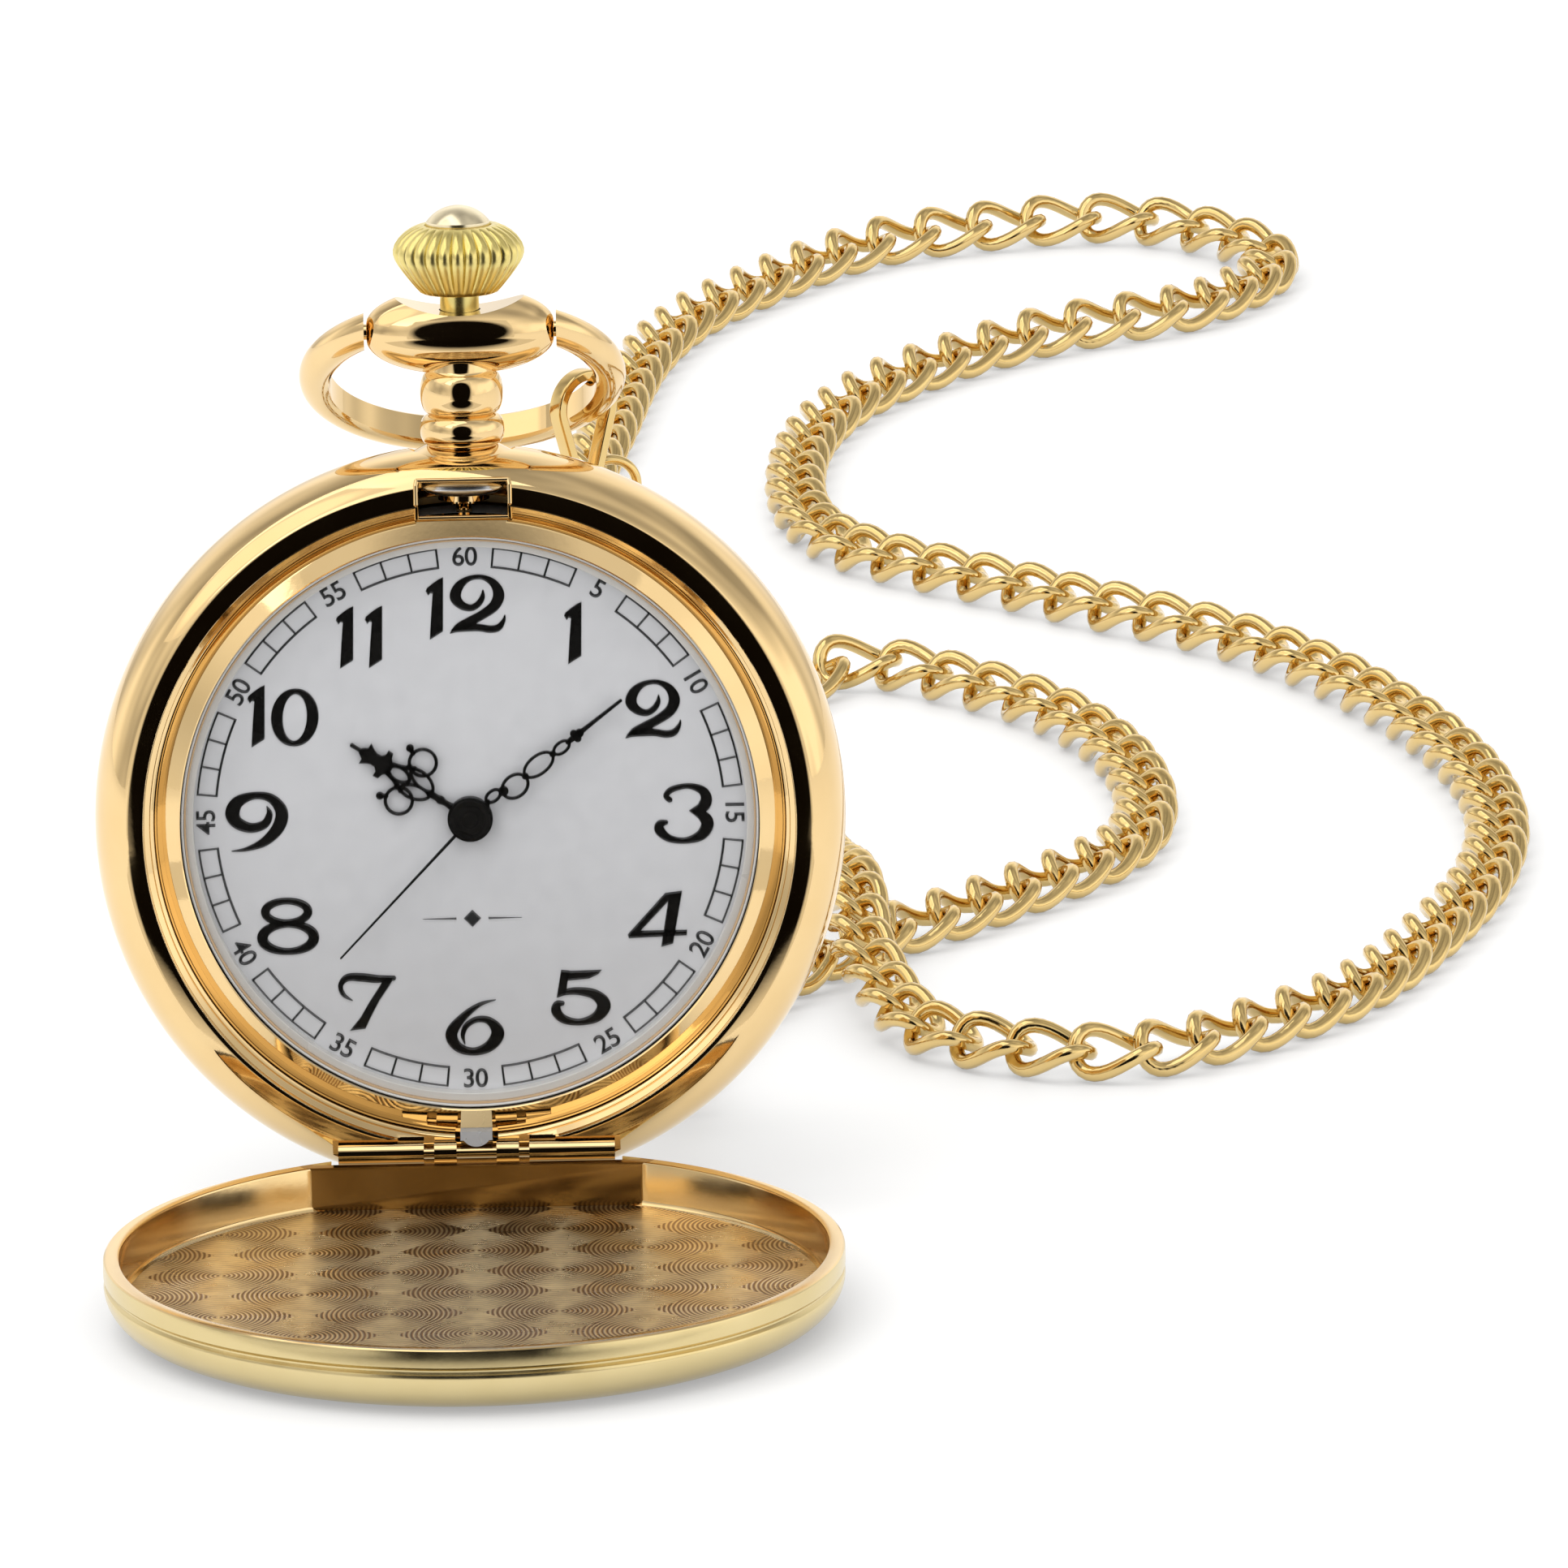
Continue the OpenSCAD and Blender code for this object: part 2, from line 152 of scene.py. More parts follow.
def surface(name, colours, rough, metallic=1.0, grain=300, scratch=0.0, **sockets):
    """A Principled finish whose colour and roughness wander a little over the piece."""
    material, nodes, links = new_material(name)
    tree = material.node_tree
    shader = nodes["Principled BSDF"]
    shader.inputs["Metallic"].default_value = metallic
    for socket, value in sockets.items():
        shader.inputs[socket.replace("_", " ")].default_value = value
    wander = noise(tree, grain)
    links.new(blend_colours(tree, wander, *colours), shader.inputs["Base Color"])
    links.new(spread(tree, wander, *rough), shader.inputs["Roughness"])
    if scratch:
        fine = noise(tree, 2500, 2.0, stretch=(1.0, 0.25, 1.0))
        links.new(bump(tree, fine, scratch, 0.00002), shader.inputs["Normal"])
    return material


# ---- mesh helpers ----

def finish_mesh(name, mesh, body, material, sharp=32):
    mesh.materials.clear()
    mesh.materials.append(material)
    mesh.shade_smooth()
    mesh.set_sharp_from_angle(angle=math.radians(sharp))
    piece = bpy.data.objects.new(name, mesh)
    scene.collection.objects.link(piece)
    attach(piece, body)
    return piece


def clean(name, points, faces, place, merge=True):
    """A mesh in the shared frame with outward faces."""
    work = bmesh.new()
    verts = [work.verts.new(place @ Vector(p)) for p in points]
    for face in faces:
        work.faces.new([verts[i] for i in face])
    if merge:
        bmesh.ops.remove_doubles(work, verts=work.verts, dist=1e-7)
        bmesh.ops.dissolve_degenerate(work, dist=1e-8, edges=work.edges)
    bmesh.ops.recalc_face_normals(work, faces=work.faces)
    mesh = bpy.data.meshes.new(name)
    work.to_mesh(mesh)
    work.free()
    return mesh


def lathe(name, profile, place, segments=256, shape=None):
    """Turns a closed outline of (radius, height) about Z. shape() may change the radius."""
    count = len(profile)
    points = []
    for i in range(segments):
        angle = 2 * math.pi * i / segments
        for radius, height in profile:
            r = shape(angle, radius, height) if shape else radius
            points.append((r * math.cos(angle), r * math.sin(angle), height))
    faces = []
    for i in range(segments):
        j = (i + 1) % segments
        for k in range(count):
            n = (k + 1) % count
            if profile[k][0] == 0 and profile[n][0] == 0:
                continue
            faces.append((i * count + k, j * count + k, j * count + n, i * count + n))
    return clean(name, points, faces, place)


def prism(name, outline, low, high, place):
    """An upright solid over a flat outline."""
    count = len(outline)
    points = [(x, y, low) for x, y in outline] + [(x, y, high) for x, y in outline]
    faces = [tuple(reversed(range(count))), tuple(range(count, 2 * count))]
    faces += [(k, (k + 1) % count, count + (k + 1) % count, count + k) for k in range(count)]
    return clean(name, points, faces, place)


def box_mesh(name, low, high, place):
    outline = [(low[0], low[1]), (high[0], low[1]), (high[0], high[1]), (low[0], high[1])]
    return prism(name, outline, low[2], high[2], place)


def rod(name, radius, start, end, place, segments=64):
    """A plain cylinder along local Z."""
    return lathe(name, [(0, start), (radius, start), (radius, end), (0, end)], place, segments)


def combine(mesh, tools, operation="DIFFERENCE"):
    """Cuts closed tool meshes from a mesh, or joins them to it. Uses the meshes up."""
    target = bpy.data.objects.new("work", mesh)
    scene.collection.objects.link(target)
    helpers = []
    for tool in tools:
        helper = bpy.data.objects.new("tool", tool)
        scene.collection.objects.link(helper)
        helpers.append(helper)
        step = target.modifiers.new("step", "BOOLEAN")
        step.operation = operation
        step.solver = "EXACT"
        step.object = helper
    bpy.context.view_layer.update()
    shaped = target.evaluated_get(bpy.context.evaluated_depsgraph_get())
    result = bpy.data.meshes.new_from_object(shaped)
    for helper in [target, *helpers]:
        data = helper.data
        bpy.data.objects.remove(helper)
        bpy.data.meshes.remove(data)
    return result


def join(name, meshes):
    """One mesh of several, without merging them."""
    work = bmesh.new()
    for mesh in meshes:
        work.from_mesh(mesh)
        bpy.data.meshes.remove(mesh)
    result = bpy.data.meshes.new(name)
    work.to_mesh(result)
    work.free()
    return result


def arc(centre, a, b, start, end, steps):
    """Points on an ellipse, angles in degrees."""
    angles = [math.radians(start + (end - start) * i / steps) for i in range(steps + 1)]
    return [(centre[0] + a * math.cos(t), centre[1] + b * math.sin(t)) for t in angles]


def catmull(points, steps=6, closed=False):
    """Smooth line through points of any size."""
    count = len(points)
    result = []
    for i in range(count if closed else count - 1):
        if closed:
            four = [points[(i + k - 1) % count] for k in range(4)]
        else:
            four = [points[max(0, min(count - 1, i + k - 1))] for k in range(4)]
        for s in range(steps):
            t = s / steps
            result.append(tuple(
                0.5 * (2 * b + (c - a) * t + (2 * a - 5 * b + 4 * c - d) * t * t
                       + (3 * b - a - 3 * c + d) * t ** 3)
                for a, b, c, d in zip(*four)))
    if not closed:
        result.append(tuple(points[-1]))
    return result


def flat_stroke(points, closed=False, steps=6):
    """A pen line through (x, y, width) points, as a list with one flat shape."""
    line = catmull(points, steps, closed)
    count = len(line)
    left, right = [], []
    for i, (x, y, w) in enumerate(line):
        before = line[i - 1] if closed or i else line[0]
        after = line[(i + 1) % count] if closed or i < count - 1 else line[-1]
        dx, dy = after[0] - before[0], after[1] - before[1]
        size = math.hypot(dx, dy) or 1
        nx, ny = -dy / size * w / 2, dx / size * w / 2
        left.append((x + nx, y + ny))
        right.append((x - nx, y - ny))
    if closed:
        return [("ring", left, right)]
    caps = []
    for (x, y, w), (px, py, _) in ((line[0], line[1]), (line[-1], line[-2])):
        heading = math.atan2(y - py, x - px)
        caps.append([(x + w / 2 * math.cos(heading + a), y + w / 2 * math.sin(heading + a))
                     for a in (math.pi / 3, 0, -math.pi / 3)])
    # caps[0] runs round the start, caps[1] round the end
    outline = right + list(reversed(caps[1])) + list(reversed(left)) + list(reversed(caps[0]))
    return [("face", outline)]


def slab(shapes, low, high, place):
    """Flat shapes made solid between two heights."""
    points, faces = [], []
    for shape in shapes:
        start = len(points)
        if shape[0] == "face":
            outline = shape[1]
            count = len(outline)
            points += [(x, y, low) for x, y in outline] + [(x, y, high) for x, y in outline]
            faces.append(tuple(start + k for k in reversed(range(count))))
            faces.append(tuple(start + count + k for k in range(count)))
            faces += [(start + k, start + (k + 1) % count, start + count + (k + 1) % count,
                       start + count + k)
                      for k in range(count)]
        else:
            first, second = shape[1], shape[2]
            count = len(first)
            for row, z in ((first, low), (second, low), (second, high), (first, high)):
                points += [(x, y, z) for x, y in row]
            for k in range(count):
                n = (k + 1) % count
                for r in range(4):
                    s = (r + 1) % 4
                    faces.append((start + r * count + k, start + r * count + n,
                                  start + s * count + n, start + s * count + k))
    return clean("slab", points, faces, place, merge=False)


def mesh_from(data):
    """The mesh of a curve or a text."""
    holder = bpy.data.objects.new("holder", data)
    scene.collection.objects.link(holder)
    bpy.context.view_layer.update()
    shaped = holder.evaluated_get(bpy.context.evaluated_depsgraph_get())
    mesh = bpy.data.meshes.new_from_object(shaped)
    bpy.data.objects.remove(holder)
    bpy.data.curves.remove(data)
    return mesh


# ---- camera ----

ELEVATION = math.radians(14.5)
ROLL = math.radians(1.1)
DISTANCE = 1.4
VIEW_WIDTH = 0.09815  # metres across the picture at the dial
AIM_RIGHT, AIM_UP = 19.63, 1.98  # from the dial's centre
ahead = Vector((0, math.cos(ELEVATION), -math.sin(ELEVATION)))
level_right = Vector((1, 0, 0))
level_up = level_right.cross(ahead)
cam_right = level_right * math.cos(ROLL) - level_up * math.sin(ROLL)
cam_up = level_up * math.cos(ROLL) + level_right * math.sin(ROLL)
aim = dial_centre + cam_right * AIM_RIGHT * MM + cam_up * AIM_UP * MM
camera = bpy.data.objects.new("camera", bpy.data.cameras.new("camera"))
scene.collection.objects.link(camera)
camera.matrix_world = Matrix.Translation(aim - ahead * DISTANCE) @ Matrix(
    (cam_right, cam_up, -ahead)).transposed().to_4x4()
camera.data.sensor_width = 36
camera.data.lens = 36 * DISTANCE / VIEW_WIDTH
camera.data.clip_start = 0.05
camera.data.clip_end = 20
scene.camera = camera

# ---- finishes ----

gold = surface("polished_gold", ((0.80, 0.57, 0.275), (0.86, 0.64, 0.34)), (0.03, 0.065),
               scratch=0.04)
satin = surface("satin_gold", ((0.66, 0.53, 0.26), (0.74, 0.61, 0.33)), (0.17, 0.25), scratch=0.15)
inner_gold = surface("cover_inside", ((0.76, 0.54, 0.25), (0.85, 0.64, 0.35)), (0.1, 0.18),
                     scratch=0.08)
# A tan finish standing for a painted reflection of the bezel in the crystal's edge.
painted_reflection_tan = surface("ring_painted_reflection", ((0.50, 0.33, 0.18), (0.60, 0.42, 0.25)), (0.45, 0.6), metallic=0.2)
# The hinge wall's gold is darkened to brown as painted shade.
painted_shade_gold = surface("chord_wall_painted_shade", ((0.36, 0.20, 0.06), (0.52, 0.32, 0.12)), (0.12, 0.22),
                      scratch=0.08)
crown_finish = surface("crown_gold", ((0.72, 0.59, 0.19), (0.84, 0.71, 0.29)), (0.24, 0.34),
                       scratch=0.12)
pale = surface("pale_gold", ((0.82, 0.71, 0.48), (0.90, 0.80, 0.58)), (0.20, 0.28), scratch=0.1)
chain_finish = surface("chain_gold", ((0.70, 0.49, 0.19), (0.80, 0.60, 0.27)), (0.08, 0.16),
                       scratch=0.06)
steel = surface("steel", ((0.66, 0.67, 0.69), (0.80, 0.81, 0.83)), (0.2, 0.3), scratch=0.06)
spring_steel = surface("spring_steel", ((0.62, 0.65, 0.70), (0.74, 0.77, 0.82)), (0.25, 0.35),
                       metallic=0.45)
dial_paint = surface("dial_white", ((0.74, 0.75, 0.78), (0.79, 0.80, 0.83)), (0.42, 0.55),
                     metallic=0.15, grain=900)
ink = surface("hands_black", ((0.003, 0.003, 0.003), (0.01, 0.009, 0.008)), (0.2, 0.35),
              metallic=0.0, Specular_IOR_Level=0.12)
track_ink = surface("track_ink", ((0.015, 0.015, 0.016), (0.04, 0.04, 0.042)), (0.4, 0.6),
                    metallic=0.0, grain=1500, Specular_IOR_Level=0.1)
glass = surface("crystal_glass", ((0.97, 0.98, 1.0), (1.0, 1.0, 1.0)), (0.0, 0.02), metallic=0.0,
                Alpha=0.1, Transmission_Weight=1.0)
gasket = surface("clear_gasket", ((0.78, 0.76, 0.72), (0.90, 0.88, 0.84)), (0.25, 0.4),
                 metallic=0.0, grain=150, Transmission_Weight=0.1)
white_plastic = surface("white_plastic", ((0.70, 0.70, 0.68), (0.80, 0.80, 0.78)), (0.4, 0.5),
                        metallic=0.0)
black_plastic = surface("black_plastic", ((0.02, 0.02, 0.022), (0.04, 0.04, 0.045)), (0.4, 0.55),
                        metallic=0.0)
green = surface("circuit_green", ((0.02, 0.10, 0.05), (0.03, 0.16, 0.08)), (0.3, 0.4), metallic=0.0)
copper = surface("copper_winding", ((0.50, 0.16, 0.05), (0.62, 0.22, 0.07)), (0.2, 0.35),
                 metallic=0.6)
rubber = surface("black_rubber", ((0.015, 0.015, 0.015), (0.03, 0.03, 0.03)), (0.6, 0.75),
                 metallic=0.0)


SPOT_WIDTH, SPOT_DEPTH = 0.0105, 0.0094  # metres between the turned spots of a row, and of a column
CUT_PITCH = 0.0003  # metres between a spot's circular cuts


def grained_floor():
    """Circular graining: overlapping turned spots in staggered rows, coloured with painted bow-tie
    highlights and painted shade.
    """
    material, nodes, links = new_material("stamped_gold")
    tree = material.node_tree
    shader = nodes["Principled BSDF"]
    shader.inputs["Metallic"].default_value = 1.0
    place = nodes.new("ShaderNodeTexCoord")
    split = nodes.new("ShaderNodeSeparateXYZ")
    links.new(place.outputs["Object"], split.inputs[0])

    def calc(operation, *values):
        return math_node(tree, operation, *values)

    def spot(shift_x, shift_y):
        x, y = (calc("WRAP", calc("ADD", split.outputs[i], shift), size / 2, -size / 2)
                for i, shift, size in ((0, shift_x, SPOT_WIDTH), (1, shift_y, SPOT_DEPTH)))
        return x, y, distance(tree, x, y)

    first = spot(0.0, 0.0)
    second = spot(SPOT_WIDTH / 2, SPOT_DEPTH / 2)
    nearer = calc("LESS_THAN", first[2], second[2])
    x, y, far = (calc("ADD", calc("MULTIPLY", a, nearer),
                      calc("MULTIPLY", b, calc("SUBTRACT", 1.0, nearer)))
                 for a, b in zip(first, second))
    rings = calc("SINE", calc("MULTIPLY", far, 2 * math.pi / CUT_PITCH))
    # Painted highlight: a bow-tie of light across each turned spot, brightest above and below its
    # centre, mottled by noise.
    heading = calc("ARCTAN2", y, x)
    painted_bowtie = calc("POWER", calc("ABSOLUTE", calc("SINE", heading)), 4.0)
    painted_mottle = calc("MULTIPLY", painted_bowtie, spread(tree, noise(tree, 700), 0.55, 1.25))
    cut_lines_and_glints = calc("MULTIPLY", rings, calc("SUBTRACT", 0.42, calc("MULTIPLY", painted_bowtie, 0.2)))
    painted_light = calc("ADD", calc("ADD", calc("MULTIPLY", painted_mottle, 0.55), 0.34), cut_lines_and_glints)
    # Colour runs from painted shade (dark brown) to painted highlight (pale cream); the cut rings
    # show as painted bright and dark lines.
    colour = blend_colours(tree, painted_light, (0.22, 0.10, 0.03), (1.0, 0.80, 0.46))
    links.new(colour, shader.inputs["Base Color"])
    links.new(spread(tree, noise(tree, 500), 0.24, 0.36), shader.inputs["Roughness"])
    links.new(bump(tree, rings, 0.6, 0.00003), shader.inputs["Normal"])
    return material


grained_painted_sheen = grained_floor()

node_finish = {
    "back_gasket": rubber, "holder_ring": white_plastic, "movement_plate": black_plastic,
    "circuit_board": green, "drive_coil": copper, "battery": steel, "battery_strap": steel,
    "hinge_pin": gold, "lift_spring": spring_steel, "latch_spring": steel, "case_knuckles": gold,
    "cover_knuckle": gold, "crown_tube": crown_finish, "setting_stem": gold, "stem_collar": gold,
    "hour_pipe": gold, "cannon_pinion": gold, "second_arbor": gold,
}
for node, finish in node_finish.items():
    mesh = frame["nodes"][node].data
    mesh.materials.clear()
    mesh.materials.append(finish)

# ---- chain ----

REST = 1.2  # height of the chain's line where it lies on the table
ROUTE = [Vector(p) for p in (
    (6.5, 41, 40), (6.5, 41, 14), (6.5, 44, 5), (6.5, 52, REST), (6.5, 64, REST),
    (6, 150, REST), (7, 222, REST), (16, 266, REST), (31, 285, REST), (47, 288, REST),
    (56, 277, REST), (51, 262, REST), (38, 252, REST), (26, 236, REST), (21, 214, REST),
    (24, 191, REST), (38, 175, REST), (52, 160, REST), (62, 139, REST), (67, 112, REST),
    (62, 83, REST), (52, 62, REST), (40, 53, REST), (30, 58, REST), (25, 72, 2.8),
    (24, 86, 4.2), (22, 106, REST), (17, 139, REST), (25, 156, REST), (35, 147, REST),
    (43, 127, REST), (42, 106, REST), (33, 92, REST), (22, 79, REST), (15, 64, REST),
    (12.5, 53, REST), (12.5, 46, 4), (12.5, 42, 10), (12.5, 41, 18), (12, 41, 40))]
LAST = len(ROUTE) - 1
LEAN = 25  # degrees that a link leans off the flat towards the camera's side
WIRE_SIZE, HALF_LENGTH, HALF_WIDTH, TWIST = 1.0, 2.62, 1.7, 0.78  # of one link's line


def slope(i):
    a = ROUTE[i] - ROUTE[i - 1] if i else ROUTE[1] - ROUTE[0]
    b = ROUTE[i + 1] - ROUTE[i] if i < LAST else ROUTE[LAST] - ROUTE[LAST - 1]
    return (a.normalized() * b.length + b.normalized() * a.length) / (a.length + b.length)


def route_point(i, t):
    d = (ROUTE[i + 1] - ROUTE[i]).length
    p = ((2 * t ** 3 - 3 * t * t + 1) * ROUTE[i] + (3 * t * t - 2 * t ** 3) * ROUTE[i + 1]
         + d * (t ** 3 - 2 * t * t + t) * slope(i) + d * (t ** 3 - t * t) * slope(i + 1))
    p.z = max(p.z, REST)
    return p


dense = [route_point(i, k / 40) for i in range(LAST) for k in range(40)] + [ROUTE[LAST]]
run = [0.0]
for a, b in zip(dense, dense[1:]):
    run.append(run[-1] + (b - a).length)
CHAIN_LENGTH = run[-1]


def at_length(s):
    s = max(0.0, min(CHAIN_LENGTH, s))
    low, high = 0, len(run) - 1
    while high - low > 1:
        middle = (low + high) // 2
        if run[middle] <= s:
            low = middle
        else:
            high = middle
    t = (s - run[low]) / (run[high] - run[low])
    return dense[low].lerp(dense[high], t)


def chain_mesh():
    """Separate curb links, evenly spaced along the route."""
    pitch = 2 * HALF_LENGTH - WIRE_SIZE
    around, sides = 32, 10  # points along a link's loop, and round its wire
    count = int(CHAIN_LENGTH / pitch)
    step = CHAIN_LENGTH / count
    points, faces = [], []
    for link in range(count):
        s = (link + 0.5) * step
        place = at_length(s)
        heading = (at_length(s + 1.6) - at_length(s - 1.6)).normalized()
        level = Vector((heading.x, heading.y, 0))
        if level.length < 0.3:
            level = Vector((0, 1 if s < CHAIN_LENGTH / 2 else -1, 0))
        side = Vector((level.y, -level.x, 0)).normalized()
        up = side.cross(heading)
        facing = -side.y
        tilt = -math.radians(LEAN * facing + random.uniform(-2, 2))
        place.z += 0.12 + 0.5 * abs(facing)
        side, up = (side * math.cos(tilt) + up * math.sin(tilt),
                    up * math.cos(tilt) - side * math.sin(tilt))
        line = []
        for k in range(around):
            t = 2 * math.pi * k / around
            line.append(place + heading * HALF_LENGTH * math.cos(t)
                        + side * HALF_WIDTH * math.sin(t) + up * TWIST * math.sin(2 * t))
        start = len(points)
        middle = sum(line, Vector()) / around
        for k in range(around):
            along = (line[(k + 1) % around] - line[k - 1]).normalized()
            out = line[k] - middle
            out = (out - along * out.dot(along)).normalized()
            third = along.cross(out)
            for m in range(sides):
                angle = 2 * math.pi * m / sides
                points.append(line[k]
                              + (out * math.cos(angle) + third * math.sin(angle)) * WIRE_SIZE / 2)
        for k in range(around):
            for m in range(sides):
                a, b = k * sides, (k + 1) % around * sides
                n = (m + 1) % sides
                faces.append((start + a + m, start + b + m, start + b + n, start + a + n))
    mesh = bpy.data.meshes.new("chain_links")
    mesh.from_pydata([p * MM for p in points], [], faces)
    mesh.validate()
    return mesh


chain = finish_mesh("chain_links", chain_mesh(), "case", chain_finish, sharp=80)
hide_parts("chain")

# ---- case ----

WINDOW = 2.85  # half width of the latch's window at 12
WINDOW_FRAME = 0.15  # radius of the raised lip round it
roll = arc((20.6, 0), 2.9, 4.4, -68, 69, 40)
crest = [(21.55, 4.155), (21.3, 4.19), (21.0, 4.225), (20.7, 4.255), (20.5, 4.27), (20.42, 4.25),
         (20.37, 4.18)]
ledges = [(20.35, 3.58), (20.32, 3.54), (20.04, 3.42), (20.01, 3.38), (20.0, 2.84), (19.97, 2.8),
          (19.78, 2.72), (19.75, 2.66), (19.75, 2.2), (19.3, 2.15)]
case_outline = [
    (20.0, 0.2), (20.0, -4.4), (20.15, -4.4), (20.15, -3.9), (20.85, -3.9), (20.85, -4.4),
    (21.4, -4.4), *roll, *crest, *ledges, (19.3, 0.2)]
case_mesh = combine(lathe("case_ring", case_outline, WATCH, 320), [
    box_mesh("window", (-WINDOW, 18, -3), (WINDOW, 21.85, 6), WATCH),
    rod("seat", 3.4, 22, 26, STEM),
    rod("stem_hole", 0.56, 21, 23, STEM),
    box_mesh("chord", (-12, -26, -6), (12, -21.7, 6), WATCH),
    box_mesh("recess", (-9, -26, 3.0), (9, -19.75, 6), WATCH),
    box_mesh("slot", (-1.35, -20.2, 0.4), (1.35, -19, 6), WATCH),
])
case_ring = finish_mesh("case_ring", case_mesh, "case", gold)
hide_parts("case_body")

back_outline = [
    (0, -5.2), (18.6, -5.2), (19.3, -5.17), (19.9, -5.1), (20.6, -5.0), (21.1, -4.8),
    (21.3, -4.62), (21.35, -4.5), (19.9, -4.5), (19.9, -3.6), (19.35, -3.6), (19.35, -4.5),
    (0, -4.5)]
back = finish_mesh("back_plate", lathe("back_plate", back_outline, WATCH), "case",
                   gold)
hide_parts("case_back")

bezel_outline = [
    (18.6, 0.3), (19.25, 0.3), (19.25, 2.3), (19.68, 2.3), (19.72, 2.4), (19.7, 2.52),
    (19.62, 2.6), (19.1, 2.81), (18.6, 3.01), (18.2, 3.17), (18.12, 3.1), (18.12, 0.8), (18.6, 0.8)]
bezel_mesh = combine(lathe("bezel_ring", bezel_outline, WATCH, 320), [
    box_mesh("notch", (-WINDOW, 19.36, 2.0), (WINDOW, 20, 4), WATCH)])
bezel = finish_mesh("bezel_ring", bezel_mesh, "case", gold)
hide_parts("bezel")

ring_outline = [(17.32, 0.75), (18.1, 0.75), (18.1, 2.42), (18.06, 2.5), (18.0, 2.52),
                (17.94, 2.5), (17.9, 2.42), (17.9, 1.96), (17.36, 1.96), (17.32, 1.92)]
seal = finish_mesh("crystal_seal", lathe("crystal_seal", ring_outline, WATCH), "case",
                   gasket)
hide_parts("crystal_gasket")
# A thin ring under the crystal's edge, coloured tan as a painted reflection of the bezel.
reflection_ring_outline = [(17.77, 1.98), (17.88, 1.98), (17.88, 2.46), (17.77, 2.4)]
finish_mesh("painted_reflection_ring", lathe("painted_reflection_ring", reflection_ring_outline, WATCH), "case",
            painted_reflection_tan)

GLASS_R, GLASS_RISE = 17.75, 0.75
dome = [(GLASS_R * t / 16, 2.35 + GLASS_RISE * (1 - (t / 16) ** 2)) for t in range(16, -1, -1)]
crystal = finish_mesh("watch_glass",
                      lathe("watch_glass", [(0, 2.05), (GLASS_R, 2.05), *dome], WATCH, 192),
                      "case", glass)
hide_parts("crystal")

frame_half = [(2.92, 19.34, 2.86), (2.92, 19.75, 3.35), (2.92, 20.42, 4.22), (2.92, 21.55, 4.13),
              (2.86, 21.86, 3.96)]
frame_line = [(-x, y, z) for x, y, z in frame_half] + list(reversed(frame_half))
frame_bars = []
for start, end in zip(frame_line, frame_line[1:] + frame_line[:1]):
    span = Vector(end) - Vector(start)
    bar = WATCH @ Matrix.Translation(start) @ span.to_track_quat("Z", "Y").to_matrix().to_4x4()
    frame_bars.append(rod("bar", WINDOW_FRAME, -0.04, span.length + 0.04, bar, 16))
finish_mesh("window_edge", join("window_edge", frame_bars), "case", gold)

leaf_place = WATCH @ Matrix.Translation((0, 21.12, 1.8)) @ Matrix.Diagonal((1.22, 0.3, 0.4, 1))
leaf_line = [(0, -2.1)] + arc((0, 0), 2.1, 2.1, -80, 80, 16) + [(0, 2.1)]
leaf = finish_mesh("latch_leaf", lathe("latch_leaf", leaf_line, leaf_place, 48), "latch",
                   steel)
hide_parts("latch_spring")

catch_parts = [lathe("collar", [(0.5, 20.0), (1.6, 20.0), (1.6, 20.35), (0.5, 20.35)], STEM, 64)]
prong_line = [(0, 19.8), (0.28, 19.8), (0.34, 19.88), (0.34, 20.52), (0.28, 20.6), (0, 20.6)]
for side in (-1, 1):
    prong_place = STEM @ Matrix.Translation((side * 0.42, -1.15, 0))
    catch_parts.append(lathe("prong", prong_line, prong_place, 32))
catch = finish_mesh("latch_catch", join("latch_catch", catch_parts), "button",
                    gold)
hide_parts("stem_collar")

# ---- dial ----

dial_mesh = lathe("dial_plate", [(1.3, 0.2), (18.4, 0.2), (18.4, 0.66), (18.36, 0.7), (1.3, 0.7)],
                  WATCH)
dial = finish_mesh("dial_plate", dial_mesh, "case", dial_paint)
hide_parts("dial")
PRINT_LOW, PRINT_HIGH = 0.695, 0.72  # the print's faces: it stands just proud of the dial


def ellipse_stroke(cx, cy, a, b, side, top, lean=0.0):
    """A closed loop whose pen is wider at the sides than at the top."""
    points = []
    for k in range(20):
        t = 2 * math.pi * k / 20
        width = top + (side - top) * abs(math.cos(t)) ** 1.5
        points.append((cx + a * math.cos(t) + lean * math.sin(t), cy + b * math.sin(t), width))
    return flat_stroke(points, closed=True)
